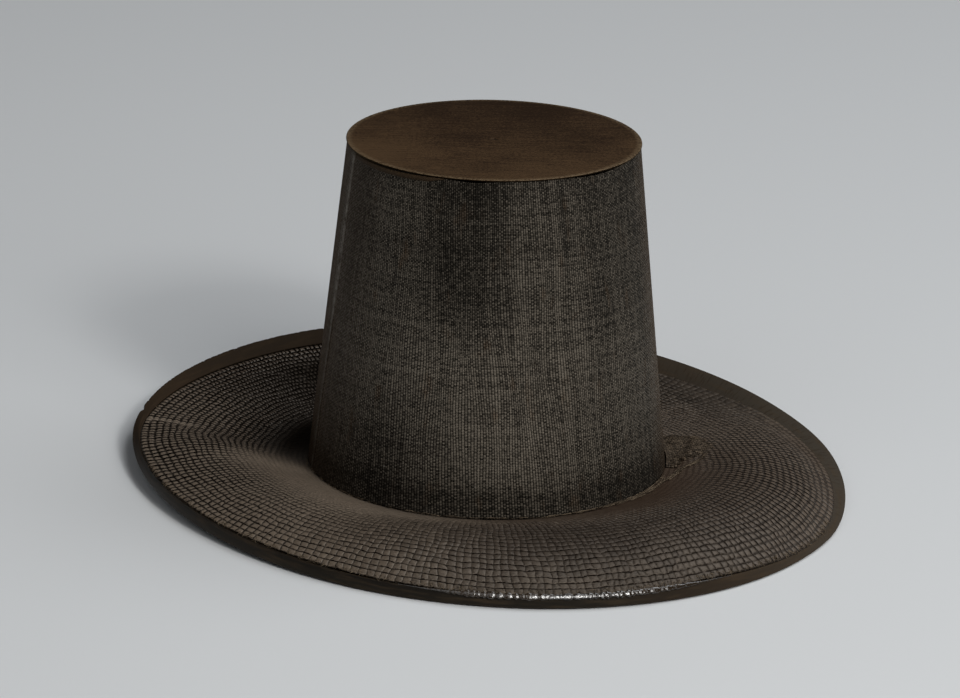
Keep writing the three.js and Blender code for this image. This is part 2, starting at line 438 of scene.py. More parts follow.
def fibre_mesh(name: str, paths: Array, thickness: Array, tones: Array, sides: int = 5) -> bpy.types.Mesh:
    """Many short fibres as one mesh of thin tubes with closed ends.

    A circle is carried along each path, square to it, and shrinks from the root to the tip. Its first
    axis is square to one slanted direction, which no fibre follows.

    Args:
        name: Name of the new mesh.
        paths: Centre lines, shaped fibres by points by 3, in the crown's frame.
        thickness: One diameter for each fibre, in millimetres.
        tones: One value from 0 to 1 for each fibre, kept as the attribute tone.
        sides: Sides of each tube.

    Returns:
        The mesh, in the row frame.
    """
    count, steps = paths.shape[:2]
    along = np.gradient(paths, axis=1)
    along /= np.linalg.norm(along, axis=2, keepdims=True)
    first = np.cross(along, FIBRE_SIDE)
    first /= np.linalg.norm(first, axis=2, keepdims=True)
    second = np.cross(along, first)
    phase = 2 * np.pi * np.arange(sides) / sides
    taper = np.linspace(1.0, FIBRE_TIP, steps)
    radius = 0.5 * thickness[:, None, None, None] * taper[None, :, None, None]
    spoke = first[:, :, None] * np.cos(phase)[:, None] + second[:, :, None] * np.sin(phase)[:, None]
    points = paths[:, :, None] + radius * spoke
    k, i, j = np.meshgrid(np.arange(count), np.arange(steps - 1), np.arange(sides), indexing="ij")
    base = (k * steps + i) * sides
    after = (j + 1) % sides
    quads = np.stack([base + j, base + after, base + sides + after, base + sides + j], axis=-1)
    rims = np.arange(count)[:, None] * steps * sides
    roots = rims + np.arange(sides)[::-1]
    tips = rims + (steps - 1) * sides + np.arange(sides)
    made = bpy.data.meshes.new(name)
    flat = CROWN_FRAME.to_row(points.reshape(-1, 3))
    made.from_pydata(flat.tolist(), [], quads.reshape(-1, 4).tolist() + roots.tolist() + tips.tolist())
    layer = made.attributes.new("tone", "FLOAT", "POINT")
    layer.data.foreach_set("value", np.repeat(tones, steps * sides).astype(np.float32))
    made.polygons.foreach_set("use_smooth", np.ones(len(made.polygons), bool))
    made.update()
    return made


class Graph:
    """Short hand for writing shader nodes: makes a node, sets plain inputs and links the others."""

    def __init__(self, tree: bpy.types.NodeTree) -> None:
        """Keeps the tree that the nodes go into."""
        self.tree = tree

    def node(self, kind: str, inputs: Optional[dict] = None, **settings: object) -> bpy.types.Node:
        """Makes one node.

        Args:
            kind: Blender's name of the node's type.
            inputs: Socket names or numbers, each with a value or another node's output.
            settings: Properties of the node.

        Returns:
            The node.
        """
        made = self.tree.nodes.new(kind)
        for key, value in settings.items():
            setattr(made, key, value)
        self.link(made, inputs or {})
        return made

    def link(self, node: bpy.types.Node, inputs: dict) -> None:
        """Sets a node's plain inputs and links the others.

        Args:
            node: The node.
            inputs: Socket names or numbers, each with a value or another node's output.
        """
        for key, value in inputs.items():
            if isinstance(value, Socket):
                self.tree.links.new(value, node.inputs[key])
            else:
                node.inputs[key].default_value = value

    def math(self, operation: str, *values: object) -> Socket:
        """One sum on sockets or numbers, such as FRACT or ABSOLUTE."""
        return self.node("ShaderNodeMath", dict(enumerate(values)), operation=operation).outputs[0]

    def mul(self, a: object, b: object) -> Socket:
        """Product of two values."""
        return self.math("MULTIPLY", a, b)

    def add(self, a: object, b: object) -> Socket:
        """Sum of two values."""
        return self.math("ADD", a, b)

    def mad(self, a: object, b: object, c: object) -> Socket:
        """Product of the first two values, and the third added to it."""
        return self.math("MULTIPLY_ADD", a, b, c)

    def most(self, a: object, b: object) -> Socket:
        """The larger of two values."""
        return self.math("MAXIMUM", a, b)

    def step(self, value: object, low: float, high: float) -> Socket:
        """Soft step of a value from 0 at low to 1 at high; low may be the larger one."""
        inputs = {"Value": value, "From Min": low, "From Max": high}
        return self.node("ShaderNodeMapRange", inputs, interpolation_type="SMOOTHSTEP").outputs[0]

    def blend(self, share: object, low: object, high: object) -> Socket:
        """Mix of two colours.

        Args:
            share: Share of the second colour, from 0 to 1.
            low: The first colour, as a socket or as linear red, green and blue.
            high: The second one.

        Returns:
            The mixed colour.
        """
        ends = [(*c, 1.0) if isinstance(c, tuple) else c for c in (low, high)]
        inputs = {0: share, 6: ends[0], 7: ends[1]}
        return self.node("ShaderNodeMix", inputs, data_type="RGBA").outputs[2]

    def noise(self, place: object, scale: float, detail: float = 3.0) -> Socket:
        """Soft noise from 0 to 1 at a place."""
        inputs = {"Vector": place, "Scale": scale, "Detail": detail, "Roughness": 0.55}
        return self.node("ShaderNodeTexNoise", inputs).outputs[0]

    def chance(self, place: object) -> Socket:
        """A fixed random value from 0 to 1 for each whole place."""
        return self.node("ShaderNodeTexWhiteNoise", {"Vector": place}, noise_dimensions="3D").outputs[0]

    def join(self, x: object, y: object, z: object = 0.0) -> Socket:
        """A place from three values."""
        return self.node("ShaderNodeCombineXYZ", {0: x, 1: y, 2: z}).outputs[0]

    def attribute(self, name: str) -> Socket:
        """A value kept on the mesh's points."""
        return self.node("ShaderNodeAttribute", attribute_name=name).outputs["Fac"]


def group(name: str, inputs: dict[str, str], outputs: dict[str, str]) -> tuple:
    """An empty shader node group with named sockets.

    Args:
        name: Name of the group.
        inputs: Input names with their socket types.
        outputs: Output names with their socket types.

    Returns:
        The group's tree, a Graph that writes in it, its input node and its output node.
    """
    tree = bpy.data.node_groups.new(name, "ShaderNodeTree")
    for label, kind in inputs.items():
        tree.interface.new_socket(label, in_out="INPUT", socket_type=kind)
    for label, kind in outputs.items():
        tree.interface.new_socket(label, in_out="OUTPUT", socket_type=kind)
    graph = Graph(tree)
    return tree, graph, graph.node("NodeGroupInput"), graph.node("NodeGroupOutput")


VALUE = "NodeSocketFloat"
VECTOR = "NodeSocketVector"
BUMP_STRENGTH = 0.8


class SharedEffects:
    """Node groups that several finishes use, each built once."""

    def __init__(self) -> None:
        """Builds the groups."""
        self.threads = self.build_threads()
        self.age = self.build_age()

    @staticmethod
    def build_threads() -> bpy.types.NodeTree:
        """Plain weave: round threads that pass over and under each other, each with its own tone.

        Warp and Weft count threads, so their whole parts name a thread and their fractions run
        across it. Height is the round top of the upper thread, Tone a chance value of each crossing
        with a lift for the upright threads' tops, and Gap the dark hole between threads, drawn out
        along the upright ones.

        Returns:
            The group.
        """
        tree, g, start, end = group(
            "plain weave", {"Warp": VALUE, "Weft": VALUE}, {"Height": VALUE, "Tone": VALUE, "Gap": VALUE}
        )
        rounds, names = [], []
        for label in ("Warp", "Weft"):
            count = start.outputs[label]
            off = g.mad(g.math("FRACT", count), 2.0, -1.0)
            rounds.append(g.math("SUBTRACT", 1.0, g.mul(off, off)))
            names.append(g.math("FLOOR", count))
        over = g.math("FLOORED_MODULO", g.add(*names), 2.0)
        under = g.math("SUBTRACT", 1.0, over)
        upper = [g.mul(over, rounds[0]), g.mul(under, rounds[1])]
        threads = [g.mul(g.chance(g.join(name, 3.5)), 0.2) for name in names]
        top = g.mad(g.mul(over, rounds[1]), 0.25, g.add(*threads))
        crossing = g.mad(g.chance(g.join(*names, 1.5)), 0.5, top)
        sides = [g.step(side, 0.95, 0.3) for side in rounds]
        hole = g.mul(sides[0], g.mad(sides[1], 0.4, 0.6))
        g.link(end, {"Height": g.add(*upper), "Tone": crossing, "Gap": hole})
        return tree

    @staticmethod
    def build_age() -> bpy.types.NodeTree:
        """Age: broad faded patches, fine grain and sparse pale specks, at a place in metres.

        Returns:
            The group.
        """
        tree, g, start, end = group(
            "age", {"Place": VECTOR}, {"Patches": VALUE, "Grain": VALUE, "Specks": VALUE}
        )
        place = start.outputs["Place"]
        patches = g.step(g.noise(place, 22.0, 4.0), 0.34, 0.66)
        grain = g.noise(place, 900.0, 2.0)
        cells = g.node("ShaderNodeTexVoronoi", {"Vector": place, "Scale": 150.0})
        near = g.step(cells.outputs["Distance"], 0.09, 0.04)
        cell_chance = g.node("ShaderNodeSeparateColor", {0: cells.outputs["Color"]}).outputs[0]
        rare = g.step(cell_chance, 0.93, 0.95)
        g.link(end, {"Patches": patches, "Grain": grain, "Specks": g.mul(near, rare)})
        return tree


def principled(material: bpy.types.Material) -> bpy.types.Node:
    """The principled shader of a new material, which gets its nodes here."""
    material.use_nodes = True
    return next(node for node in material.node_tree.nodes if node.type == "BSDF_PRINCIPLED")


class Looks(NamedTuple):
    """What a finish puts into its shader: three sockets, the bump's depth in metres and black gaps.

    Gaps are made metallic, because a black metal has no gloss.
    """

    colour: Socket
    roughness: Socket
    height: Socket
    depth: float
    black: Optional[Socket] = None


class FinishGraph(Graph):
    """Writer of one material's nodes, with the places and the shared groups that a finish reads."""

    def __init__(self, tree: bpy.types.NodeTree, effects: SharedEffects) -> None:
        """Places the age group in the material and keeps the group of threads.

        Args:
            tree: The material's nodes.
            effects: The shared node groups.
        """
        super().__init__(tree)
        self.threads = effects.threads
        self.place = self.node("ShaderNodeTexCoord").outputs["Object"]
        self.age = self.node("ShaderNodeGroup", {"Place": self.place}, node_tree=effects.age).outputs

    @cached_property
    def uv(self) -> tuple[Socket, Socket]:
        """The two sockets of the piece's own uv, made when a finish first asks for them."""
        pattern = self.node("ShaderNodeUVMap", uv_map="pattern").outputs[0]
        return tuple(self.node("ShaderNodeSeparateXYZ", {0: pattern}).outputs[:2])

    def woven(self, warp: Socket, weft: Socket) -> bpy.types.bpy_prop_collection:
        """The outputs of the group of threads, placed at two counts of threads."""
        return self.node("ShaderNodeGroup", {"Warp": warp, "Weft": weft}, node_tree=self.threads).outputs

    def streaks(self, along: float, across: float, detail: float = 3.0, seed: float = 0.0) -> Socket:
        """Noise on the piece's own uv, drawn out by a scale for each of its two directions."""
        u, v = self.uv
        return self.noise(self.join(self.mul(u, along), self.mul(v, across), seed), 1.0, detail)


@dataclass(frozen=True)
class Finish:
    """Base of the finishes: a principled material whose colour, roughness and bump come from nodes."""

    name: str
    specular: float = 0.35
    gloss: Colour = (1.0, 0.88, 0.72)

    def make(self, effects: SharedEffects) -> bpy.types.Material:
        """Builds the material.

        Args:
            effects: The shared node groups.

        Returns:
            The material.
        """
        material = bpy.data.materials.new(self.name)
        shader = principled(material)
        shader.inputs["Specular Tint"].default_value = (*self.gloss, 1.0)
        shader.inputs["Specular IOR Level"].default_value = self.specular
        g = FinishGraph(material.node_tree, effects)
        looks = self.pattern(g)
        relief = {"Height": looks.height, "Strength": BUMP_STRENGTH, "Distance": looks.depth}
        normal = g.node("ShaderNodeBump", relief).outputs[0]
        g.link(shader, {"Base Color": looks.colour, "Roughness": looks.roughness, "Normal": normal})
        if looks.black:
            g.link(shader, {"Metallic": g.step(looks.black, 0.3, 1.0)})
        return material

    def pattern(self, g: FinishGraph) -> Looks:
        """Writes the finish's own nodes.

        Args:
            g: Writer of the material's nodes.

        Returns:
            What goes into the shader.
        """
        raise NotImplementedError


@dataclass(frozen=True)
class HorsehairCloth(Finish):
    """Fine lacquered horsehair cloth with streaks along its threads, and an overlapped seam with a pale
    highlight painted along it.
    """

    dark: Colour = (0.007, 0.006, 0.0047)
    light: Colour = (0.184, 0.158, 0.125)
    brown: Colour = (0.100, 0.058, 0.030)
    pale_and_painted_light: Colour = (0.27, 0.25, 0.22)
    hole: Colour = (0.0010, 0.0008, 0.0006)

    def pattern(self, g: FinishGraph) -> Looks:
        """Crossings of chance tones, faint streaks, brown patches, painted shade and the seam lines
        painted pale as a highlight.

        Args:
            g: Writer of the material's nodes.

        Returns:
            What goes into the shader, with the holes between the threads as its gaps.
        """
        u, v = g.uv
        weave = g.woven(g.mad(u, WARP_THREADS, 0.5), g.mad(v, WEFT_THREADS, 0.5))
        shade, rust, gap = g.attribute("shade"), g.attribute("rust"), weave["Gap"]
        tone = g.add(weave["Tone"], g.mad(g.streaks(120.0, 4.0, 4.0), 0.3, -0.15))
        # Painted shade: the shade mask dims the crossings, so only the brightest stay light, and darkens
        # the colour.
        tone = g.mad(shade, -0.36, g.mad(g.age["Patches"], -0.12, tone))
        colour = g.blend(g.step(tone, -0.15, 0.82), self.dark, self.light)
        old = g.mul(g.step(g.streaks(60.0, 7.0, seed=4.0), 0.58, 0.76), 0.5)
        colour = g.blend(g.most(old, rust), colour, self.brown)
        colour = g.blend(g.mul(shade, 0.45), colour, self.dark)
        colour = g.blend(g.mul(gap, 0.97), colour, self.hole)
        # Painted highlight: pale broken lines along the raised seam.
        lines = g.step(g.math("ABSOLUTE", g.math("SUBTRACT", g.attribute("seam"), 0.55)), 0.4, 0.1)
        lines = g.mul(lines, g.step(g.noise(g.place, 260.0), 0.2, 0.7))
        colour = g.blend(g.mul(lines, 0.7), colour, self.pale_and_painted_light)
        colour = g.blend(g.mul(g.age["Specks"], 0.5), colour, self.pale_and_painted_light)
        dull = g.most(g.mul(shade, 0.75), rust)
        roughness = g.mad(dull, 0.5, g.mad(weave["Tone"], -0.2, 0.5))
        return Looks(colour, roughness, g.mad(gap, -1.0, weave["Height"]), 0.0002, gap)


@dataclass(frozen=True)
class HorsehairDisc(Finish):
    """Fine brown lacquered cloth, rubbed in fine streaks, with a pale worn edge."""

    dark: Colour = (0.020, 0.0095, 0.004)
    light: Colour = (0.078, 0.0445, 0.021)
    edge: Colour = (0.15, 0.105, 0.06)
    under: Colour = (0.004, 0.0025, 0.0015)

    def pattern(self, g: FinishGraph) -> Looks:
        """Long streaks from side to side over broad patches, the pale line round the edge, painted light
        towards the front and the sides, and painted shade on the lower half of the edge.

        Args:
            g: Writer of the material's nodes.

        Returns:
            What goes into the shader, with the painted shade on the lower half of the edge as its gap.
        """
        grain, under = g.age["Grain"], g.attribute("under")
        drawn = g.node("ShaderNodeMapping", {"Vector": g.place, "Scale": (60.0, 900.0, 60.0)})
        streaks = g.noise(drawn.outputs[0], 1.0, 4.0)
        tone = g.mad(streaks, 0.7, g.mul(g.age["Patches"], 0.25))
        tone = g.add(tone, g.add(grain, -0.5))
        # Painted light: the disc is paler towards the front and the sides.
        tone = g.add(tone, g.mad(g.attribute("pale_and_painted_light"), 0.6, -0.3))
        colour = g.blend(g.step(tone, 0.2, 0.95), self.dark, self.light)
        rubbed = g.mul(g.attribute("edge"), g.step(grain, 0.3, 0.6))
        colour = g.blend(rubbed, colour, self.edge)
        # Painted shade: the lower half of the edge is nearly black.
        colour = g.blend(g.mul(under, 0.85), colour, self.under)
        return Looks(colour, g.mad(streaks, -0.2, 0.68), g.add(streaks, grain), 0.00008, under)


@dataclass(frozen=True)
class WovenBamboo(Finish):
    """Lacquered split-bamboo weave: rounded pads in rings, with dark lines between them."""

    pad: Colour = (0.130, 0.099, 0.073)
    shade: Colour = (0.030, 0.021, 0.0145)
    brown: Colour = (0.036, 0.0195, 0.011)
    groove: Colour = (0.0022, 0.0012, 0.0007)
    dust_and_highlight_colour: Colour = (0.262, 0.208, 0.157)
    fibre: Colour = (0.20, 0.158, 0.115)

    @staticmethod
    def off_middle(g: Graph, count: Socket) -> Socket:
        """Distance from the middle of a cell, from 0 to 1 at the line that bounds it."""
        return g.math("ABSOLUTE", g.mad(g.math("FRACT", count), 2.0, -1.0))

    def lines(self, g: FinishGraph, off_ring: Socket, off_strand: Socket) -> Socket:
        """Dark lines between the pads, from 0 to 1.

        Lines waver in width, break here and there, are widest in the open net at the rear and fade
        where the weave is filled or plain. On the right the rings are faint and the strands stand out.

        Args:
            g: Writer of the material's nodes.
            off_ring: Distance from the middle of the cell, out along the brim.
            off_strand: Distance from the middle of the cell, round the brim.

        Returns:
            The socket of the lines.
        """
        net, side, radial = (g.attribute(name) for name in ("net", "side", "radial"))
        wide = g.mad(net, 0.16, g.mad(g.noise(g.place, 650.0, 2.0), 0.5, -0.25))
        fewer = g.mad(radial, -0.5, g.mad(side, -0.2, 1.0))
        ring = g.mul(g.step(g.add(off_ring, wide), 0.6, 0.96), fewer)
        strand = g.step(g.add(off_strand, g.mad(side, 0.2, wide)), 0.7, 0.98)
        strand = g.mul(strand, g.mad(g.most(net, side), 0.28, 0.72))
        kept = g.mad(g.step(g.noise(g.place, 330.0, 2.0), 0.28, 0.55), 0.3, 0.7)
        return g.mul(g.mul(g.most(ring, strand), kept), g.attribute("open"))

    def pattern(self, g: FinishGraph) -> Looks:
        """Pads painted pale on top, rubbed lacquer with painted highlights, between dark lines; dust with
        painted highlights, fraying and painted shade in their places.

        Args:
            g: Writer of the material's nodes.

        Returns:
            What goes into the shader, with the lines and the painted shade as its gaps.
        """
        u, v = g.uv
        ring, strand = g.mul(v, RINGS), g.mul(u, STRANDS)
        off_ring, off_strand = self.off_middle(g, ring), self.off_middle(g, strand)
        lines = self.lines(g, off_ring, off_strand)
        net, dust_and_highlight, painted_brim_shade = (g.attribute(name) for name in ("net", "dust_and_highlight", "painted_brim_shade"))
        cell = g.chance(g.join(g.math("FLOOR", strand), g.math("FLOOR", ring), 2.5))
        grain = g.streaks(800.0, 110.0)
        # Rubbed lacquer and painted highlight: pads are paler in their middles, most on the open net and
        # the sides.
        rubbed = g.mul(g.step(off_ring, 0.9, 0.1), g.step(off_strand, 1.0, 0.1))
        rub_and_highlight_share = g.most(net, g.mul(g.attribute("side"), 0.8))
        tone = g.add(g.mad(cell, 0.4, grain), g.mul(g.mad(rubbed, 2.1, -0.6), rub_and_highlight_share))
        colour = g.blend(g.step(tone, 0.25, 1.1), self.shade, self.pad)
        colour = g.blend(g.mul(g.age["Patches"], 0.3), colour, self.brown)
        # Dust and painted highlight: pale on the left slope, along the ridge and on the crease.
        colour = g.blend(g.mul(dust_and_highlight, g.mad(g.age["Grain"], 1.2, 0.16)), colour, self.dust_and_highlight_colour)
        colour = g.blend(g.mul(g.attribute("brown"), 0.8), colour, self.brown)
        frayed = g.mul(g.attribute("worn"), g.step(grain, 0.35, 0.7))
        colour = g.blend(g.mul(frayed, 0.5), colour, self.fibre)
        # Painted shade on the brim goes to the groove colour and is made black metal.
        dark = g.most(lines, g.mul(painted_brim_shade, 0.95))
        colour = g.blend(dark, colour, self.groove)
        colour = g.blend(g.age["Specks"], colour, self.fibre)
        dull = g.most(dark, g.mul(dust_and_highlight, 0.7))
        roughness = g.mad(dull, 0.3, g.mad(net, -0.12, 0.4))
        height = g.mad(lines, -1.0, g.mul(grain, 0.5))
        return Looks(colour, roughness, height, 0.0002, g.most(lines, painted_brim_shade))


@dataclass(frozen=True)
class LacquerStrip(Finish):
    """Plain lacquered edge strip, striped along its length; darker and glossy in front."""

    brown: Colour = (0.021, 0.0112, 0.0046)
    black: Colour = (0.0045, 0.0039, 0.0033)
    grey: Colour = (0.060, 0.052, 0.041)
    worn: Colour = (0.066, 0.042, 0.022)

    def pattern(self, g: FinishGraph) -> Looks:
        """Long fine stripes, a dark glossy front, a greyer cross-lined right side and rubbed edges.

        Args:
            g: Writer of the material's nodes.

        Returns:
            What goes into the shader.
        """
        stripes = g.streaks(50.0, 45.0, 4.0)
        front, right = g.attribute("front"), g.attribute("right")
        colour = g.blend(g.mul(right, 0.8), self.brown, self.grey)
        colour = g.blend(front, colour, self.black)
        colour = g.blend(g.mul(g.step(stripes, 0.42, 0.75), 0.4), colour, self.worn)
        rubbed = g.mul(g.attribute("edge"), g.step(g.age["Grain"], 0.4, 0.65))
        colour = g.blend(g.mul(rubbed, 0.4), colour, self.worn)
        woven = g.mul(g.step(g.streaks(900.0, 24.0, 2.0), 0.5, 0.7), right)
        colour = g.blend(g.mul(woven, 0.6), colour, self.brown)
        roughness = g.add(g.mad(front, -0.36, 0.8), g.mad(stripes, 0.2, -0.1))
        return Looks(colour, roughness, stripes, 0.00012)


@dataclass(frozen=True)
class FrayedFibre(Finish):
    """Bare ends of bamboo and hair, from dark brown to tan, fibre by fibre."""

    dark: Colour = (0.030, 0.020, 0.0125)
    tan: Colour = (0.19, 0.145, 0.098)

    def pattern(self, g: FinishGraph) -> Looks:
        """Each fibre's own tone, broken up by grain.

        Args:
            g: Writer of the material's nodes.

        Returns:
            What goes into the shader.
        """
        grain = g.age["Grain"]
        tone = g.mad(grain, 0.4, g.math("SUBTRACT", g.attribute("tone"), 0.2))
        colour = g.blend(g.step(tone, 0.0, 1.0), self.dark, self.tan)
        return Looks(colour, g.mad(grain, 0.2, 0.5), grain, 0.00003)


@dataclass(frozen=True)
class LooseGauze(Finish):
    """Torn cloth that has lost most of its lacquer: thin brown threads with open dark holes."""

    pitch_mm: float = 1.0
    dark: Colour = (0.024, 0.0165, 0.011)
    tan: Colour = (0.135, 0.100, 0.068)
    hole: Colour = (0.004, 0.0026, 0.0016)

    def pattern(self, g: FinishGraph) -> Looks:
        """Threads of chance tones, with holes between them and streaks across the folds.

        Args:
            g: Writer of the material's nodes.

        Returns:
            What goes into the shader, with the holes as its gaps.
        """
        weave = g.woven(*(g.math("DIVIDE", place, self.pitch_mm) for place in g.uv))
        streaks = g.streaks(0.9, 0.25)
        tone = g.add(weave["Tone"], g.mad(streaks, 1.2, -0.7))
        colour = g.blend(g.step(tone, 0.0, 1.0), self.dark, self.tan)
        colour = g.blend(g.mul(weave["Gap"], 0.85), colour, self.hole)
        height = g.add(weave["Height"], streaks)
        return Looks(colour, g.mad(streaks, 0.2, 0.55), height, 0.0002, weave["Gap"])


@dataclass(frozen=True)
class LacquerDrip(Finish):
    """Thick dark lacquer that ran along the strip's upper edge in front and dried glossy."""

    dark: Colour = (0.010, 0.008, 0.006)
    brown: Colour = (0.030, 0.020, 0.012)

    def pattern(self, g: FinishGraph) -> Looks:
        """Near black, brown in broad patches, with a low ripple.

        Args:
            g: Writer of the material's nodes.

        Returns:
            What goes into the shader.
        """
        ripple = g.noise(g.place, 700.0)
        colour = g.blend(g.age["Patches"], self.dark, self.brown)
        return Looks(colour, g.mad(ripple, 0.1, 0.04), ripple, 0.00025)


class Palette:
    """All finishes of the hat, each made once."""

    def __init__(self) -> None:
        """Builds the shared effects and then the materials."""
        effects = SharedEffects()
        self.cloth = HorsehairCloth("horsehair_cloth", specular=0.22).make(effects)
        self.disc = HorsehairDisc("horsehair_disc", specular=0.16).make(effects)
        self.weave = WovenBamboo("woven_bamboo", specular=0.6, gloss=(1.0, 0.91, 0.80)).make(effects)
        self.strip = LacquerStrip("lacquer_strip", specular=0.3, gloss=(1.0, 0.84, 0.66)).make(effects)
        self.fibre = FrayedFibre("frayed_fibre", specular=0.25).make(effects)
        self.gauze = LooseGauze("loose_gauze", specular=0.3).make(effects)
        self.drip = LacquerDrip("lacquer_drip", specular=1.0, gloss=(1.0, 1.0, 1.0)).make(effects)


def put_in_scene(name: str, data: bpy.types.ID) -> bpy.types.Object:
    """Puts a mesh, camera or light into the scene.

    Args:
        name: Name of the new object.
        data: What it shows.

    Returns:
        The object, at the origin.
    """
    made = bpy.data.objects.new(name, data)
    bpy.context.scene.collection.objects.link(made)
    return made


def add_piece(
    mesh: bpy.types.Mesh, material: bpy.types.Material, stands_for: Optional[str] = None
) -> bpy.types.Object:
    """Puts a finished mesh into the scene as a piece of the hat, named as the mesh is.

    Args:
        mesh: Its mesh, in the row frame.
        material: Its finish.
        stands_for: The solid that it replaces, if it does.

    Returns:
        The piece.
    """
    mesh.materials.append(material)
    piece = put_in_scene(mesh.name, mesh)
    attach(piece, "root")
    if stands_for:
        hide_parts(stands_for)
    LOG.info("%s: %d faces", piece.name, len(mesh.polygons))
    return piece


@dataclass
class Crown:
    """The tapered cloth wall with its seam, the flat disc on it and the binding under the disc."""

    base_radius: float = FOOT_RADIUS
    top_radius: float = 64.6
    height: float = 147.3
    wall: float = 1.5
    gap: float = GAP
    columns: int = WARP_THREADS
    rows: int = WEFT_THREADS
    inner_rows: int = 9
    skew_deg: float = 12.0
    crimp: float = 0.06
    seam_base_deg: float = 194.5
    seam_top_deg: float = 199.5
    seam_width: float = 4.0
    seam_raise: float = 0.5
    seam_soft: float = 0.4
    tuck: float = 0.75
    lifted: tuple = ((Arc(226.0, 26.0), 0.5), (Arc(262.0, 14.0), 0.9), (Arc(316.0, 24.0), 1.0))
    # Stretches of painted shade on the wall; the first is a darker patch of the cloth in front.
    dark_patch: Arc = Arc(259.0, 34.0)
    painted_wall_shade_low: Arc = Arc(240.0, 40.0)
    painted_wall_shade_left: Arc = Arc(212.0, 48.0)
    painted_wall_shade_right: Arc = Arc(330.0, 62.0)
    rusty: tuple = ((Arc(190.0, 42.0), 0.5), (Arc(183.0, 17.0), 0.3), (Arc(356.0, 20.0), 0.5))
    disc_radius: float = 65.1
    disc_top: float = 149.0
    disc_thickness: float = 0.8
    disc_edge: float = 0.4
    disc_pole: float = 0.05
    disc_rings: int = 26
    disc_edge_steps: int = 9
    disc_stations: int = 288
    disc_swell: float = 0.12
    disc_level_edge: float = 8.0
    binding_deg: tuple[float, float] = (203.0, 251.0)
    binding_stations: int = 97
    binding_drop: float = 2.1
    binding_proud: float = 0.35
    binding_inset: float = 0.25
    binding_narrow_deg: float = 8.0

    def radius(self, z: Array) -> Array:
        """Outer radius of the wall: a straight taper from foot to top."""
        return self.base_radius - (self.base_radius - self.top_radius) * z / self.height

    def wall_top(self, angle: Array) -> Array:
        """Height of the wall's top edge, sunk below the disc in three stretches of the front."""
        return self.height + self.tuck - weighted(self.lifted, angle)

    def build_wall(self) -> Lattice:
        """The cloth wall.

        Stations run round from the seam, and the section runs up the outer face and down the inner
        one. The outer face alternates in and out by the crimp at each crossing of the threads, and
        steps out by the seam's raise across the overlap. The threads wander by small waves, and lean
        most a quarter turn from the seam.

        Returns:
            The wall as a lattice.
        """
        around = np.arange(self.columns + 1) / self.columns
        up = np.linspace(0.0, 1.0, self.rows + 1)
        down = np.linspace(1.0, 0.0, self.inner_rows)
        share = np.concatenate([up, down])
        outside = np.concatenate([np.ones_like(up), np.zeros_like(down)])
        seam = self.seam_base_deg + (self.seam_top_deg - self.seam_base_deg) * share
        u, v = 2 * np.pi * around[:-1, None], share[None]
        waves = 0.7 * np.sin(5 * u + 6 * v) + 0.5 * np.sin(13 * u - 9 * v) + 0.3 * np.sin(29 * u + 17 * v)
        wander = TURN / self.columns * waves * np.sin(np.pi * v)
        angle = seam[None] + TURN * around[:-1, None] + wander + self.skew_deg * np.sin(u) * (0.5 - v)
        z = self.gap + (self.wall_top(angle) - self.gap) * share[None]
        away = np.minimum(around[:-1], 1 - around[:-1]) * 2 * np.pi * self.base_radius
        half, soft = self.seam_width / 2, self.seam_soft
        overlap = 1 - smoothstep(half - soft, half + soft, away)
        parity = (np.arange(self.columns)[:, None] + np.arange(len(share))[None]) % 2
        relief = outside * (self.crimp * (2 * parity - 1) + self.seam_raise * overlap[:, None])
        radius = self.radius(z) + relief - self.wall * (1 - outside)
        band = np.clip(1.1 - away / (self.seam_width * 0.75), 0.0, 1.0)[:, None] * outside
        # The seam mask marks where a pale highlight is painted along the raised seam, stronger high up.
        masks = {"seam": band * (0.3 + 0.7 * smoothstep(60.0, 95.0, z)), **self.painted_shade_and_brown(angle, z)}
        uv = grid_uv(around, np.append(share, 0.0))
        return Lattice(polar(angle, radius, z), uv, ring=True, masks=masks)

    def painted_shade_and_brown(self, angle: Array, z: Array) -> dict[str, Array]:
        """Where shade is painted on the cloth and where it has turned brown.

        Args:
            angle: Angles of the wall's points.
            z: Their heights.

        Returns:
            Values from 0 to 1 by name, shaped as the points.
        """
        # Painted shade: darker on the left and the right, low at the front left, towards the top and at
        # the foot by the brim; the patch in front is a darker patch of the cloth.
        high = smoothstep(50.0, 120.0, z)
        patch = self.dark_patch.bump(angle) * smoothstep(60.0, 112.0, z)
        low = self.painted_wall_shade_low.bump(angle) * (1 - smoothstep(16.0, 66.0, z))
        left = 0.36 * self.painted_wall_shade_left.bump(angle) + 0.52 * low
        right = self.painted_wall_shade_right.bump(angle) * (0.45 + 0.08 * high)
        foot = 1 - smoothstep(2.0, 24.0, z)
        shade = np.clip(0.8 * patch + left + right + 0.5 * foot + 0.25 * high, 0.0, 1.0)
        return {"shade": shade, "rust": weighted(self.rusty, angle)}

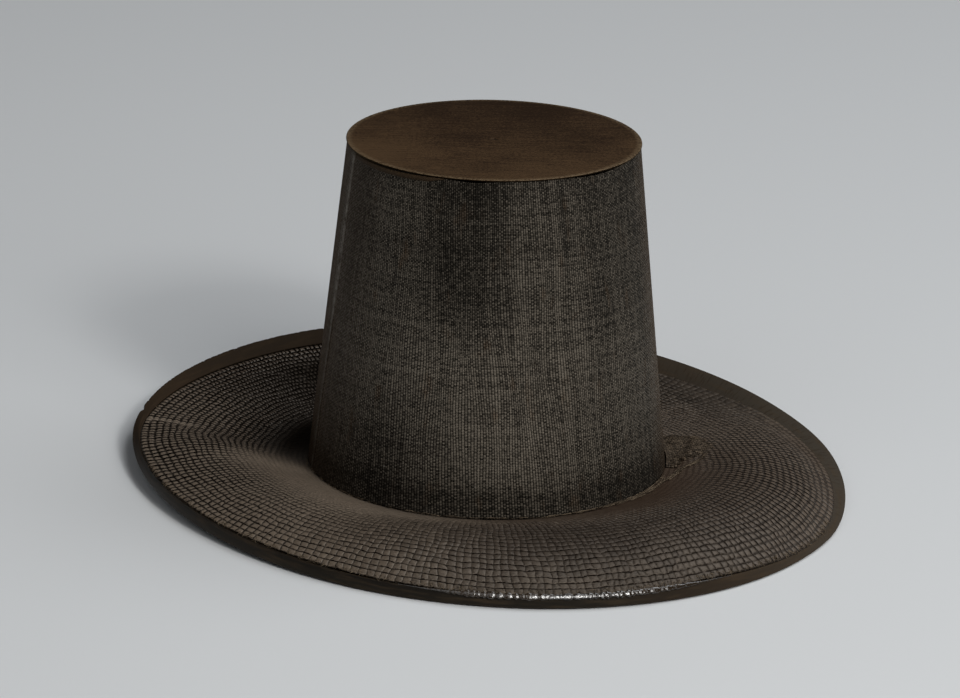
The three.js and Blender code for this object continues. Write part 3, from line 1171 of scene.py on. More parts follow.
    def build_disc(self) -> Lattice:
        """The disc: a closed profile from the middle of its lower face to the middle of its upper one.

        The profile runs out under the disc, round its edge and back in over the top, and the upper
        face is very slightly uneven.

        Returns:
            The disc as a lattice.
        """
        base = self.disc_top - self.disc_thickness
        half = self.disc_thickness / 2
        turn = np.linspace(-np.pi / 2, np.pi / 2, self.disc_edge_steps)
        flat = self.disc_radius - self.disc_edge
        inward = np.linspace(flat, self.disc_pole, self.disc_rings)[1:]
        level = np.zeros_like(inward)
        radius = np.concatenate([inward[::-1], flat + self.disc_edge * np.cos(turn), inward])
        z = base + np.concatenate([level, half + half * np.sin(turn), level + self.disc_thickness])
        around = np.arange(self.disc_stations + 1) / self.disc_stations
        angle = TURN * around[:-1, None]
        x, y, _ = np.moveaxis(polar(angle, radius, z), -1, 0)
        inside = smoothstep(self.disc_radius, self.disc_radius - self.disc_level_edge, radius)
        swell = self.disc_swell * np.sin(0.11 * x + 1.0) * np.sin(0.09 * y)
        height = z + (z > base + half) * inside * swell
        # The lower half of the rounded edge gets painted shade.
        above = height > base + 0.8 * self.disc_thickness
        rim = smoothstep(self.disc_radius - 0.9, self.disc_radius - 0.4, radius)
        x, y = x / self.disc_radius, y / self.disc_radius
        # Painted light: paler towards the front and the sides.
        pale_and_painted_light = np.clip(0.42 - 0.1 * x - 0.42 * y + 0.4 * x * x, 0.0, 1.0)
        masks = {"edge": rim * above, "under": rim * ~above, "pale_and_painted_light": pale_and_painted_light}
        uv = grid_uv(around, np.linspace(0.0, 1.0, len(radius) + 1))
        return Lattice(polar(angle, radius, height), uv, ring=True, masks=masks)

    def build_binding(self) -> Lattice:
        """The plain band that binds the wall's top edge at the front left.

        A thin flat section hangs from the wall's top edge and narrows towards the band's end.

        Returns:
            The band as a lattice.
        """
        angle = np.linspace(*self.binding_deg, self.binding_stations)
        drop, proud, inset = self.binding_drop, self.binding_proud, self.binding_inset
        narrow = smoothstep(0.0, self.binding_narrow_deg, self.binding_deg[1] - angle)[:, None]
        down = np.array([drop, drop, 0.3, 0.0, 0.0])
        z = self.wall_top(angle)[:, None] - down * (0.25 + 0.75 * narrow)
        radius = self.radius(z) + np.array([-inset, proud, proud, proud * 0.6, -inset])
        none = np.zeros(radius.shape)
        masks = {"edge": none + [0.0, 0.0, 1.0, 1.0, 0.0], "front": none, "right": none}
        uv = grid_uv(angle / TURN, np.linspace(0.0, 1.0, len(down) + 1))
        return Lattice(polar(angle[:, None], radius, z), uv, capped=True, masks=masks)

    def dress(self, palette: Palette) -> None:
        """Adds the crown's pieces with their finishes.

        Args:
            palette: All finishes of the hat.
        """
        add_piece(self.build_wall().mesh("crown_cloth"), palette.cloth, "crown_wall")
        add_piece(self.build_disc().mesh("crown_disc"), palette.disc, "crown_top")
        add_piece(self.build_binding().mesh("crown_binding"), palette.strip)


class BrimSide(Enum):
    """The two halves of the woven brim, each with the angle that it starts at."""

    REAR = 0.0
    FRONT = 180.0


@dataclass(frozen=True)
class WeaveWear:
    """Stretches of the brim where its age shows, where dust and painted highlights lie, and where shade
    is painted.
    """

    # The left slope, the ridge, the crease and the left edge carry dust and painted highlights; the last
    # four stretches carry painted shade.
    dust_and_light_left: Arc = Arc(222.0, 66.0)
    filled_right: Arc = Arc(326.0, 66.0)
    highlit_ridge: Arc = Arc(197.0, 17.0)
    plain_edge: Arc = Arc(16.0, 62.0)
    brown_front: Arc = Arc(295.0, 62.0)
    highlit_crease: Arc = Arc(175.5, 1.3)
    dust_and_light_edge: Arc = Arc(186.0, 50.0)
    frayed: Arc = Arc(262.0, 90.0)
    painted_brim_shade_rear: Arc = Arc(118.0, 41.0)
    painted_brim_shade_valley: Arc = Arc(160.0, 36.0)
    painted_brim_shade_front: Arc = Arc(290.0, 66.0)
    painted_brim_shade_right: Arc = Arc(48.0, 34.0)

    def masks(self, theta: Array, v: Array) -> dict[str, Array]:
        """Where the weave is open, frayed and brown, where dust and painted highlights lie, and where
        shade is painted.

        Each mask is a soft bump round the hat times soft steps on the way out. Near the crown the
        weave is filled, further out on the left, on the right and on the ridge.

        Args:
            theta: Angles, one for each row.
            v: Shares of the way out, one for each column.

        Returns:
            Values from 0 to 1 by name, shaped rows by columns.
        """
        left, right, highlit_ridge = (arc.bump(theta) for arc in (self.dust_and_light_left, self.filled_right, self.highlit_ridge))
        out = v / (0.28 + 0.4 * left + 0.25 * right + 0.25 * highlit_ridge)
        plain = smoothstep(0.8, 0.97, v) * self.plain_edge.bump(theta)
        # Painted highlight: a narrow pale line along the crease.
        highlit_crease = self.highlit_crease.bump(theta) * smoothstep(0.62, 0.8, v)
        # Dust, with painted light on the left slope and a painted highlight along the ridge.
        slope = np.maximum(left, highlit_ridge) * (1 - 0.55 * smoothstep(0.4, 1.25, out))
        edge = 0.6 * self.dust_and_light_edge.bump(theta) * smoothstep(0.4, 0.8, v)
        inner = right * (1 - smoothstep(0.15, 0.6, v))
        middle = self.brown_front.bump(theta) * smoothstep(0.2, 0.4, v) * (1 - smoothstep(0.5, 0.85, v))
        # Painted shade: the crown's cast shadow and the dark hollow at the rear left, where the open net
        # shows shade beneath, a darker band in front and a darker stretch at the right rear.
        painted_brim_shade = (
            0.95 * self.painted_brim_shade_rear.bump(theta) ** 0.7 * (1 - smoothstep(0.76, 1.0, v)),
            self.painted_brim_shade_valley.bump(theta) ** 0.5 * (1 - smoothstep(0.12, 0.5, v)),
            0.52 * self.painted_brim_shade_front.bump(theta) ** 0.7 * smoothstep(0.25, 0.5, v),
            0.55 * self.painted_brim_shade_right.bump(theta) * smoothstep(0.5, 0.8, v),
        )
        return {
            "open": smoothstep(0.12, 1.0, out) * (1 - 0.95 * plain) * (1 - 0.5 * highlit_crease),
            "dust_and_highlight": np.maximum(slope, edge) + 0.7 * highlit_crease,
            "worn": smoothstep(0.72, 0.97, v) * self.frayed.bump(theta),
            "brown": np.maximum(inner, 0.5 * middle),
            "painted_brim_shade": np.maximum.reduce(painted_brim_shade),
        }


class Crowd(NamedTuple):
    """How close the strands stand at one angle round the hat, as a number for the full turn."""

    angle: float
    strands: float


@dataclass
class Weave:
    """The woven brim: rounded pads between rings and radial strands, over the warped form."""

    strands: int = STRANDS
    rings: int = RINGS
    crowding: tuple = (
        Crowd(0, 231), Crowd(15, 228), Crowd(30, 255), Crowd(60, 275), Crowd(90, 300), Crowd(120, 375),
        Crowd(135, 392), Crowd(150, 330), Crowd(165, 270), Crowd(180, 280), Crowd(195, 275),
        Crowd(210, 295), Crowd(225, 280), Crowd(255, 280), Crowd(300, 285), Crowd(330, 268),
        Crowd(345, 240), Crowd(360, 231),
    )
    crowding_steps: int = 721
    net_arc: Arc = Arc(130.0, 110.0)
    left_arc: Arc = Arc(190.0, 58.0)
    right_arc: Arc = Arc(355.0, 66.0)
    radial_arc: Arc = Arc(4.0, 70.0)
    slant_arc: Arc = Arc(-4.0, 60.0)
    wear: WeaveWear = WeaveWear()
    pad_rise: float = 0.3
    net_rise: float = 0.32
    pad_middle: float = 0.6
    blunt: float = 6.0
    rounded: float = 3.4
    spread: float = 0.15
    stray: float = 0.18
    slant_deg: float = 7.0
    overlap_lift: float = 0.45
    overlap_sheet: float = 0.3
    strand_floor: float = 0.15
    ring_floor: float = 0.6
    fine: tuple = (0.0, 0.12, 0.5, 0.88)
    coarse: tuple = (0.0, 0.5)
    seed: int = 11

    def steps(self, cells: int, phases: tuple) -> Array:
        """Sample places over a run of cells: the same phases in each, and the last cell's end."""
        return np.append((np.arange(cells)[:, None] + np.array(phases)).ravel(), cells)

    def turned(self, around: Array) -> Array:
        """Angles at given shares of the strands.

        The strands stand closer in some places than in others. Their number is summed up round the
        hat from the crowding, and each share is found in that sum by a straight line.

        Args:
            around: Shares of all strands, counted from +X.

        Returns:
            Angles in degrees.
        """
        grid = np.linspace(0.0, TURN, self.crowding_steps)
        where, crowd = np.array(self.crowding, float).T
        density = np.interp(grid, where, crowd)
        summed = np.concatenate([[0.0], np.cumsum(density[1:] + density[:-1])])
        return np.interp(around, summed / summed[-1], grid)

    @staticmethod
    def pad(place: Array, lowest: Array, blunt: Array) -> Array:
        """Height of a pad across one cell: lowest in the line, 1 in the middle, more or less blunt."""
        outside = np.abs(2 * (place % 1.0) - 1)
        return lowest + (1 - lowest) * (1 - outside**blunt)

    def chances(self, extra: int) -> Array:
        """A table of fixed random values from 0 to 1, one for each strand and ring line."""
        return np.random.default_rng(self.seed + extra).random((self.strands, self.rings + 1))

    def net(self, around: Array) -> Array:
        """Where the weave is an open net of raised pads: the rear and the left of the hat."""
        return self.net_arc.bump(self.turned(around))

    def sides(self, around: Array) -> Array:
        """Where the gaps between the strands are wide: the left and the right of the hat."""
        theta = self.turned(around)
        return np.maximum(self.left_arc.bump(theta), self.right_arc.bump(theta))

    def radial(self, around: Array) -> Array:
        """Where the strands stand out more than the rings: the right of the hat."""
        return self.radial_arc.bump(self.turned(around))

    def cells(self, around: Array, ring: Array) -> tuple[Array, Array, Array, Array]:
        """The cell that each place of a grid lies in.

        Args:
            around: Shares of the full turn, one for each row.
            ring: Ring coordinates, one for each column.

        Returns:
            Strand numbers as a column, ring numbers as a row, and the places within the cell.
        """
        strand = around * self.strands
        row = np.floor(strand).astype(int)
        column = np.clip(np.floor(ring).astype(int), 0, self.rings - 1)
        return row[:, None], column[None], (strand - row)[:, None], (ring - column)[None]

    def relief(self, around: Array, ring: Array) -> Array:
        """Height of the pads, with a little chance in each, lower in front and near the crown.

        Args:
            around: Shares of the full turn, one for each row.
            ring: Ring coordinates, one for each column.

        Returns:
            Heights in millimetres, shaped rows by columns, about zero in the middle.
        """
        row, column, _, _ = self.cells(around, ring)
        lift = 0.7 + 0.6 * self.chances(0)[row % self.strands, column]
        net, radial = self.net(around)[:, None], self.radial(around)[:, None]
        blunt = self.blunt - self.rounded * np.maximum(net, self.sides(around)[:, None])
        across = self.pad((around * self.strands)[:, None], self.strand_floor * (1 - radial), blunt)
        pads = across * self.pad(ring[None], self.ring_floor * radial, blunt)
        ease = 0.3 + 0.7 * smoothstep(0.0, 0.4, ring / self.rings)
        return (self.pad_rise + self.net_rise * net) * ease[None] * (pads * lift - self.pad_middle)

    def strays(self, around: Array, ring: Array, extra: int) -> Array:
        """Chance shifts of the weave's crossings, in cells, spread evenly over the cells between them.

        Args:
            around: Shares of the full turn, one for each row.
            ring: Ring coordinates, one for each column.
            extra: Which table of chances is used.

        Returns:
            Shifts, shaped rows by columns.
        """
        row, column, a, b = self.cells(around, ring)
        table = self.stray * (2 * self.chances(extra) - 1)
        near, far = row % self.strands, (row + 1) % self.strands
        low = table[near, column] * (1 - a) + table[far, column] * a
        high = table[near, column + 1] * (1 - a) + table[far, column + 1] * a
        return low * (1 - b) + high * b

    def face(self, around: Array, ring: Array, lower: bool) -> Array:
        """Points of the upper or lower face.

        Rings stand closer together near the crown. Both families of lines wander by small waves and
        by the chance shifts of their crossings, and the strands slant on the right. Where the sheet
        laps over the strip, the last rows thin out and lie on it.

        Args:
            around: Shares of the full turn, one for each row.
            ring: Ring coordinates, one for each column.
            lower: Whether it is the lower face, a sheet's thickness down with its pads below it.

        Returns:
            Points in the crown's frame.
        """
        angle = self.turned(around)
        u, v = 2 * np.pi * around[:, None], (ring / self.rings)[None]
        waves = 0.3 * np.sin(9 * u + 7 * v) + 0.22 * np.sin(31 * u + 19 * v + 1.0)
        slant = self.slant_deg * self.slant_arc.bump(angle)[:, None]
        turn = waves * v + self.strays(around, ring, 1) * TURN / self.strands
        turn = turn + slant * (1 - v) * smoothstep(0.0, 0.35, v)
        ripple = 0.16 * np.sin(7 * u + 5 * v) + 0.11 * np.sin(23 * u - 11 * v + 2.0)
        slide = (ripple + self.strays(around, ring, 2)) / self.rings * (1 - (2 * v - 1) ** 8)
        radius = BRIM_FORM.radius_at(angle, v * (1 - self.spread + self.spread * v) + slide)
        relief = self.relief(around, ring)
        over = BRIM_FORM.lapped(angle)[:, None] * smoothstep(0.93, 0.968, v)
        height = BRIM_FORM.height(angle, radius) + self.overlap_lift * over
        sheet = BRIM_FORM.sheet + (self.overlap_sheet - BRIM_FORM.sheet) * over
        height = height + (-sheet - 0.6 * relief * (1 - over) if lower else relief)
        return BRIM_FORM.place(angle[:, None] + turn, radius, height)

    def build(self, side: BrimSide) -> Lattice:
        """One half of the brim as a closed sheet.

        The section runs out along the lower face and back in along the upper one, with the level
        margin under the crown's foot at both ends.

        Args:
            side: The half.

        Returns:
            The half as a lattice.
        """
        around = side.value / TURN + self.steps(self.strands // 2, self.fine) / self.strands
        out = self.steps(self.rings, self.coarse)
        back = self.steps(self.rings, self.fine)[::-1]
        theta = self.turned(around)[:, None]
        margin = np.full_like(theta, BRIM_FORM.inner_radius)
        below = BRIM_FORM.place(theta, margin, np.full_like(theta, -BRIM_FORM.sheet))
        above = BRIM_FORM.place(theta, margin, np.zeros_like(theta))
        faces = [self.face(around, out, True), self.face(around, back, False)]
        points = np.concatenate([below, *faces, above], axis=1)
        across = np.concatenate([[-1.0], out, back, [-1.0, -1.0]]) / self.rings
        v = np.maximum(across[:-1], 0.0)[None]
        masks = self.wear.masks(theta, v)
        for name, values in (("net", self.net), ("side", self.sides), ("radial", self.radial)):
            masks[name] = values(around)[:, None] + 0 * v
        return Lattice(points, grid_uv(around, across), capped=True, masks=masks)

    def dress(self, palette: Palette) -> None:
        """Adds both halves.

        Args:
            palette: All finishes of the hat.
        """
        for side in BrimSide:
            mesh = self.build(side).mesh(f"brim_weave_{side.name.lower()}")
            add_piece(mesh, palette.weave, "brim")


@dataclass
class EdgeStrip:
    """The plain strip round the brim, nicked along its free edge at the rear left, and its lacquer."""

    stations: int = 2400
    corner: float = 0.45
    corner_steps: int = 5
    nick_deg: tuple[float, float] = (98.0, 168.0)
    nick_count: int = 300
    nick_depth: float = 0.9
    nick_from_chance: float = 0.94
    uneven: float = 0.3
    notch: Arc = Arc(171.0, 1.6)
    notch_depth: float = 1.1
    front: Arc = Arc(244.0, 86.0)
    right: Arc = Arc(18.0, 100.0)
    drip_deg: tuple[float, float] = (256.0, 312.0)
    drip_stations: int = 420
    drip_sides: int = 12
    drip_lumps: tuple[int, int] = (170, 23)
    drip_tilt: float = 33.0
    drip_broadside: float = 1.75
    drip_proud: float = 0.4
    drip_out: float = 0.35
    drip_up: float = 0.1
    seed: int = 5

    def nicks(self, angle: Array) -> Array:
        """Depth of the nicks in the free edge: few and narrow, among a fine low unevenness.

        Args:
            angle: Angles round the hat.

        Returns:
            Depths in millimetres, with those of the one notch at the left.
        """
        chance = np.random.default_rng(self.seed).random(self.nick_count)
        rare = np.clip((chance - self.nick_from_chance) / (1 - self.nick_from_chance), 0.0, 1.0)
        depth = self.uneven * chance**2 + self.nick_depth * rare
        depth[[0, -1]] = 0.0
        places = np.linspace(*self.nick_deg, self.nick_count)
        nicks = np.interp(angle, places, depth, left=0.0, right=0.0)
        return nicks + self.notch_depth * self.notch.bump(angle)

    def section(self) -> tuple[Array, Array, Array]:
        """A rectangle with round corners.

        Returns:
            For each point its corner's side along the width (0 inner, 1 outer), and its offsets from
            that corner along the width and up.
        """
        quarter = np.linspace(0.0, np.pi / 2, self.corner_steps)
        start = np.array([np.pi, 1.5 * np.pi, 0.0, 0.5 * np.pi])
        turn = start[:, None] + quarter
        side = np.array([0.0, 1.0, 1.0, 0.0])[:, None] + 0 * turn
        inset = np.array([1.0, -1.0, -1.0, 1.0])[:, None] * self.corner
        floor = np.array([self.corner, self.corner, -self.corner, -self.corner])[:, None]
        base = np.array([-1.0, -1.0, 0.0, 0.0])[:, None] * BRIM_FORM.strip_thickness
        along = inset + self.corner * np.cos(turn)
        up = base + floor + self.corner * np.sin(turn)
        return side.ravel(), along.ravel(), up.ravel()

    def build(self) -> Lattice:
        """The strip: the round-cornered section carried round the hat, turned as the strip turns.

        Returns:
            The strip as a lattice.
        """
        around = np.arange(self.stations + 1) / self.stations
        angle = TURN * around[:-1]
        line = BRIM_FORM.strip(angle)
        side, along, up = self.section()
        out = side * (line.width - self.nicks(angle))[:, None] + along
        radius = line.inner_r[:, None] + line.along_r[:, None] * out - line.along_z[:, None] * up
        height = line.inner_z[:, None] + line.along_z[:, None] * out + line.along_r[:, None] * up
        none = np.zeros(radius.shape)
        masks = {
            "front": none + np.minimum(1.0, 2.0 * self.front.bump(angle))[:, None],
            "right": none + self.right.bump(angle)[:, None],
            "edge": none + (np.abs(along) < 0.6 * self.corner),
        }
        uv = grid_uv(around, np.linspace(0.0, 1.0, len(along) + 1))
        return Lattice(BRIM_FORM.place(angle[:, None], radius, height), uv, ring=True, masks=masks)

    def build_drip(self) -> Lattice:
        """The ragged bead of lacquer along the strip's upper edge in front.

        A flat ellipse is carried along the strip's inner edge, its broad side turned out and up. Its
        size wavers from place to place, in fine lumps and in broad ones, and dies away at both ends.

        Returns:
            The bead as a lattice.
        """
        first, last = self.drip_deg
        angle = np.linspace(first, last, self.drip_stations)
        line = BRIM_FORM.strip(angle)
        rng = np.random.default_rng(self.seed + 1)
        fine, broad = (
            np.interp(angle, np.linspace(first, last, lumps), rng.random(lumps))
            for lumps in self.drip_lumps
        )
        ends = smoothstep(0.0, 14.0, angle - first) * smoothstep(0.0, 16.0, last - angle)
        size = (0.04 + ends * (0.4 + 0.8 * fine * (0.4 + 0.6 * broad)))[:, None]
        turn = 2 * np.pi * np.arange(self.drip_sides) / self.drip_sides
        tilt = math.radians(self.drip_tilt)
        broadside = self.drip_broadside * size * np.cos(turn)
        proud = self.drip_proud * size * np.sin(turn)
        out = self.drip_out - broadside * math.sin(tilt) + proud * math.cos(tilt)
        up = self.drip_up + broadside * math.cos(tilt) + proud * math.sin(tilt)
        points = BRIM_FORM.place(angle[:, None], line.inner_r[:, None] + out, line.inner_z[:, None] + up)
        uv = grid_uv(angle / TURN, np.linspace(0.0, 1.0, self.drip_sides + 1))
        return Lattice(points, uv, capped=True)

    def dress(self, palette: Palette) -> None:
        """Adds the strip and its bead of lacquer.

        Args:
            palette: All finishes of the hat.
        """
        add_piece(self.build().mesh("edge_strip"), palette.strip, "brim_rim")
        add_piece(self.build_drip().mesh("lacquer_drip"), palette.drip)


class Span(NamedTuple):
    """A stretch of the hat's round, from one angle to another, with the number of fibres strewn on it."""

    first: float
    last: float
    count: int


@dataclass
class Fraying:
    """Loose fibres where the weave ends at the strip, at the crown's foot and on the torn patch."""

    rim_spans: tuple = (Span(196.0, 345.0, 800), Span(20.0, 170.0, 200))
    foot_spans: tuple = (Span(290.0, 350.0, 160), Span(184.0, 290.0, 80))
    foot_radius: float = FOOT_RADIUS + 0.35
    thread_line: tuple = ((314, 80.6), (325, 82.0), (340, 82.6), (353, 87.0), (361, 95.0), (368, 99.0))
    thread_count: int = 170
    thread_steps: int = 9
    thread_radius: float = FOOT_RADIUS + 0.8
    steps: int = 5
    seed: int = 23

    @staticmethod
    def strewn(rng: np.random.Generator, spans: tuple) -> Array:
        """Chance angles, so many on each span."""
        return np.concatenate([rng.uniform(*span) for span in spans])

    def arcs(self, root: Array, lead: Array, bend: Array) -> Array:
        """Bent fibres: from each root along its lead, and off to its bend with the square of the way.

        Args:
            root: Start points.
            lead: Straight reach of each fibre.
            bend: How far each tip is carried off that line.

        Returns:
            Centre lines, shaped fibres by steps by 3.
        """
        t = np.linspace(0.0, 1.0, self.steps)[None, :, None]
        return root[:, None] + lead[:, None] * t + bend[:, None] * t**2

    def rim_fibres(self) -> bpy.types.Mesh:
        """Short ends that stick out over the strip's upper edge, mostly in front.

        Returns:
            The ends as one mesh.
        """
        rng = np.random.default_rng(self.seed)
        angle = self.strewn(rng, self.rim_spans)
        count = len(angle)
        end = BRIM_FORM.weave_end(angle) - rng.uniform(0.2, 2.2, count)
        root = BRIM_FORM.laid(angle, end, 0.5 * BRIM_FORM.lapped(angle))
        outward, aside = polar(angle, 1.0, 0.0), polar(angle + TURN / 4, 1.0, 0.0)
        reach = rng.uniform(0.6, 1.9, count)[:, None]
        lead = outward * reach + aside * rng.normal(0.0, 0.9, count)[:, None]
        lead[:, 2] += rng.uniform(-0.3, 0.5, count)
        bend = aside * rng.normal(0.0, 0.5, count)[:, None]
        bend[:, 2] -= rng.uniform(0.2, 1.1, count)
        thick = rng.uniform(0.12, 0.3, count)
        return fibre_mesh("rim_fibres", self.arcs(root, lead, bend), thick, rng.random(count))

    def foot_fibres(self) -> bpy.types.Mesh:
        """Ends of the crown cloth that lie along its foot, thick at the front right, sparse elsewhere.

        Returns:
            The ends as one mesh.
        """
        rng = np.random.default_rng(self.seed + 1)
        start = self.strewn(rng, self.foot_spans)
        count = len(start)
        t = np.linspace(0.0, 1.0, self.steps)[None]
        off = rng.uniform(0.0, 1.2, count)[:, None] ** 2
        radius = self.foot_radius + off + rng.uniform(0.0, 1.0, count)[:, None] * t
        angle = start[:, None] + rng.normal(0.0, 2.2, count)[:, None] * t
        lift = rng.uniform(0.3, 1.0, count)[:, None] + 0.3 * np.sin(3.0 * t)
        thick = rng.uniform(0.14, 0.3, count)
        paths = BRIM_FORM.laid(angle, radius, lift)
        return fibre_mesh("foot_fibres", paths, thick, rng.random(count) ** 0.8)

    def loose_threads(self) -> bpy.types.Mesh:
        """Threads that follow the crown's foot at the front right and then run on over the brim.

        Each lies along a piece of one line, which is given by its radii at some angles, a little aside
        of it and turned a little off it.

        Returns:
            The threads as one mesh.
        """
        rng = np.random.default_rng(self.seed + 2)
        count = self.thread_count
        where, radii = np.array(self.thread_line, float).T
        t = np.linspace(-0.5, 0.5, self.thread_steps)[None]
        middle = where[0] + (where[-1] - where[0]) * rng.random(count)[:, None] ** 0.8
        angle = middle + rng.uniform(1.5, 6.5, count)[:, None] * t
        wave = np.sin(rng.uniform(4.0, 9.0, count)[:, None] * t + rng.uniform(0.0, 6.0, count)[:, None])
        off = rng.normal(0.4, 0.75, count)[:, None]
        aside = off + rng.normal(0.0, 1.2, count)[:, None] * t + 0.25 * wave
        radius = np.maximum(self.thread_radius, np.interp(angle, where, radii) + aside)
        lift = 0.35 + rng.uniform(0.0, 0.6, count)[:, None] + 0.2 * wave
        thick = rng.uniform(0.12, 0.28, count)
        paths = BRIM_FORM.laid(angle, radius, lift)
        return fibre_mesh("loose_threads", paths, thick, rng.random(count) ** 1.4)

    def dress(self, palette: Palette) -> None:
        """Adds the loose fibres.

        Args:
            palette: All finishes of the hat.
        """
        add_piece(self.rim_fibres(), palette.fibre)
        add_piece(self.foot_fibres(), palette.fibre)
        add_piece(self.loose_threads(), palette.fibre)


@dataclass
class TornGauze:
    """A crumpled scrap of the crown's cloth that has torn loose at its foot, on the right."""

    start_deg: float = -5.0
    span_deg: float = 29.0
    start_radius: float = FOOT_RADIUS + 0.5
    length: float = 25.7
    thickness: float = 0.3
    clear: float = 0.45
    columns: int = 110
    rows: int = 60

    def reach(self, s: Array) -> Array:
        """How far the scrap reaches from the crown: a ragged wedge, widest past its middle.

        Args:
            s: Shares of the scrap's width, from 0 to 1.

        Returns:
            Reaches in millimetres.
        """
        wedge = (0.14 + 0.8 * smoothstep(0.0, 0.72, s)) * (1 - 0.45 * smoothstep(0.78, 1.0, s))
        ragged = 0.05 * np.sin(23 * s) + 0.04 * np.sin(57 * s + 1.0) + 0.03 * np.sin(131 * s + 2.0)
        return self.length * (wedge + ragged)

    def build(self) -> Lattice:
        """The scrap: a small torn sheet laid on the brim, crumpled into crossing folds.

        The folds are three families of waves over the sheet. They grow away from the crown and die
        away at the torn edge, which lies on the brim.

        Returns:
            The scrap as a closed thin lattice.
        """
        s = np.linspace(0.0, 1.0, self.columns + 1)[:, None]
        t = np.linspace(0.0, 1.0, self.rows + 1)[None]
        reach = self.reach(s)
        out = reach * t
        radius = self.start_radius + out
        angle = self.start_deg + self.span_deg * (s + 0.015 * np.sin(19 * t + 9 * s) * t)
        folds = np.sin(0.62 * out - 13 * s) + 0.8 * np.sin(0.8 * out + 27 * s + 1.0)
        folds = folds + 0.7 * np.sin(47 * s - 0.4 * out)
        edge = smoothstep(0.0, 0.06, s) * smoothstep(1.0, 0.93, s) * smoothstep(1.0, 0.8, t)
        climb = 1.2 * smoothstep(0.2, 0.0, t)
        lift = self.clear + edge * (0.75 + climb + 0.36 * folds * smoothstep(0.0, 0.2, t))
        upper = BRIM_FORM.laid(angle, radius, lift)
        lower = BRIM_FORM.laid(angle, radius, lift - self.thickness)
        points = np.concatenate([upper, lower[:, ::-1]], axis=1)
        across = np.concatenate([t[0], t[0, ::-1], t[0, :1]])
        width = math.radians(self.span_deg) * self.start_radius
        uv = np.stack(np.broadcast_arrays(s * width, across[None] * reach), axis=-1)
        return Lattice(points, uv, capped=True)

    def dress(self, palette: Palette) -> None:
        """Args:
            palette: All finishes of the hat.
        """
        lattice = self.build()
        piece = add_piece(lattice.mesh("torn_gauze"), palette.gauze)


@dataclass(frozen=True)
class Softbox:
    """A square studio light that points at the hat."""

    name: str
    place: tuple[float, float, float]
    size: float
    power: float
    colour: Colour
    aim: tuple[float, float, float] = (0.0, 0.0, 0.06)

    def hang(self) -> None:
        """Puts the light into the scene."""
        lamp = bpy.data.lights.new(self.name, "AREA")
        lamp.size = self.size
        lamp.energy = self.power
        lamp.color = self.colour
        back = Vector(self.place) - Vector(self.aim)
        turned = back.to_track_quat("Z", "Y").to_matrix().to_4x4()
        put_in_scene(self.name, lamp).matrix_world = Matrix.Translation(self.place) @ turned


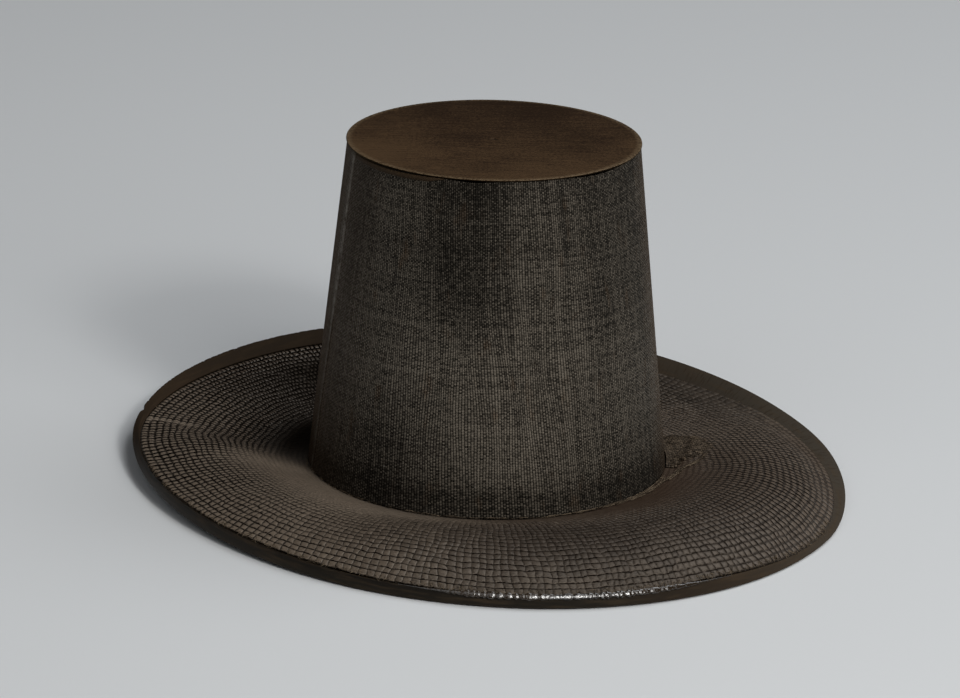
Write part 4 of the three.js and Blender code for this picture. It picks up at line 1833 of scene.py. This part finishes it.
@dataclass
class Studio:
    """Camera, floor and lights. The camera keeps the photograph's angle to the crown."""

    elevation_deg: float = 18.15
    distance: float = 2300.0
    focal_px: float = 5165.0
    image_width_px: float = 960.0
    sensor_mm: float = 36.0
    clip: tuple[float, float] = (0.05, 50.0)
    target: tuple[float, float, float] = (-4.09, 0.0, 51.7)
    roll_deg: float = -1.35
    floor_half: float = 8.0
    floor_height: float = -0.0003
    floor_colour: Colour = (0.765, 0.785, 0.80)
    floor_roughness: float = 0.9
    floor_specular: float = 0.1
    world_colour: Colour = (0.80, 0.82, 0.85)
    world_strength: float = 0.035
    lights: tuple = (
        Softbox("key", (1.0, -1.55, 1.45), 1.4, 16.8, (1.0, 0.98, 0.955)),
        Softbox("glint", (0.95, -1.5, 1.4), 0.34, 11.0, (1.0, 0.99, 0.97)),
        Softbox("top", (1.2, 0.6, 2.2), 1.8, 28.5, (0.97, 0.985, 1.0)),
        Softbox("fill", (-1.0, -1.6, 1.5), 1.6, 5.8, (0.97, 0.985, 1.0)),
    )

    def set_camera(self) -> None:
        """Makes the camera from its fit to the crown: a look-at with a small roll, no shift."""
        tilt, roll = math.radians(self.elevation_deg), math.radians(self.roll_deg)
        ahead = np.array([0.0, math.cos(tilt), -math.sin(tilt)])
        right, up = np.array([1.0, 0.0, 0.0]), np.array([0.0, math.sin(tilt), math.cos(tilt)])
        across = math.cos(roll) * right - math.sin(roll) * up
        above = math.sin(roll) * right + math.cos(roll) * up
        lens = bpy.data.cameras.new("camera")
        lens.sensor_width = self.sensor_mm
        lens.lens = self.focal_px * self.sensor_mm / self.image_width_px
        lens.clip_start, lens.clip_end = self.clip
        matrix = np.eye(4)
        matrix[:3, :3] = CROWN_FRAME.turn() @ np.stack([across, above, -ahead], axis=1)
        matrix[:3, 3] = CROWN_FRAME.to_row(np.array(self.target) - self.distance * ahead)
        camera = put_in_scene("camera", lens)
        camera.matrix_world = Matrix(matrix.tolist())
        bpy.context.scene.camera = camera

    def lay_floor(self) -> None:
        """A plain pale floor just under the hat."""
        signs = ((-1, -1), (1, -1), (1, 1), (-1, 1))
        corners = [(x * self.floor_half, y * self.floor_half, self.floor_height) for x, y in signs]
        mesh = bpy.data.meshes.new("floor")
        mesh.from_pydata(corners, [], [(0, 1, 2, 3)])
        material = bpy.data.materials.new("floor")
        shader = principled(material)
        shader.inputs["Base Color"].default_value = (*self.floor_colour, 1.0)
        shader.inputs["Roughness"].default_value = self.floor_roughness
        shader.inputs["Specular IOR Level"].default_value = self.floor_specular
        mesh.materials.append(material)
        put_in_scene("floor", mesh)

    def light(self) -> None:
        """Soft even surroundings and the softboxes."""
        world = bpy.data.worlds.new("studio")
        world.use_nodes = True
        back = world.node_tree.nodes["Background"]
        back.inputs["Color"].default_value = (*self.world_colour, 1.0)
        back.inputs["Strength"].default_value = self.world_strength
        bpy.context.scene.world = world
        for softbox in self.lights:
            softbox.hang()

    def set_up(self) -> None:
        """Camera, floor, lights and plain colour handling."""
        self.set_camera()
        self.lay_floor()
        self.light()
        bpy.context.scene.view_settings.view_transform = "Standard"


def main() -> None:
    """Builds the studio and the hat, piece by piece."""
    logging.basicConfig(level=logging.INFO)
    Studio().set_up()
    palette = Palette()
    for assembly in (Crown(), Weave(), EdgeStrip(), Fraying(), TornGauze()):
        assembly.dress(palette)


if __name__ == "__main__":
    main()
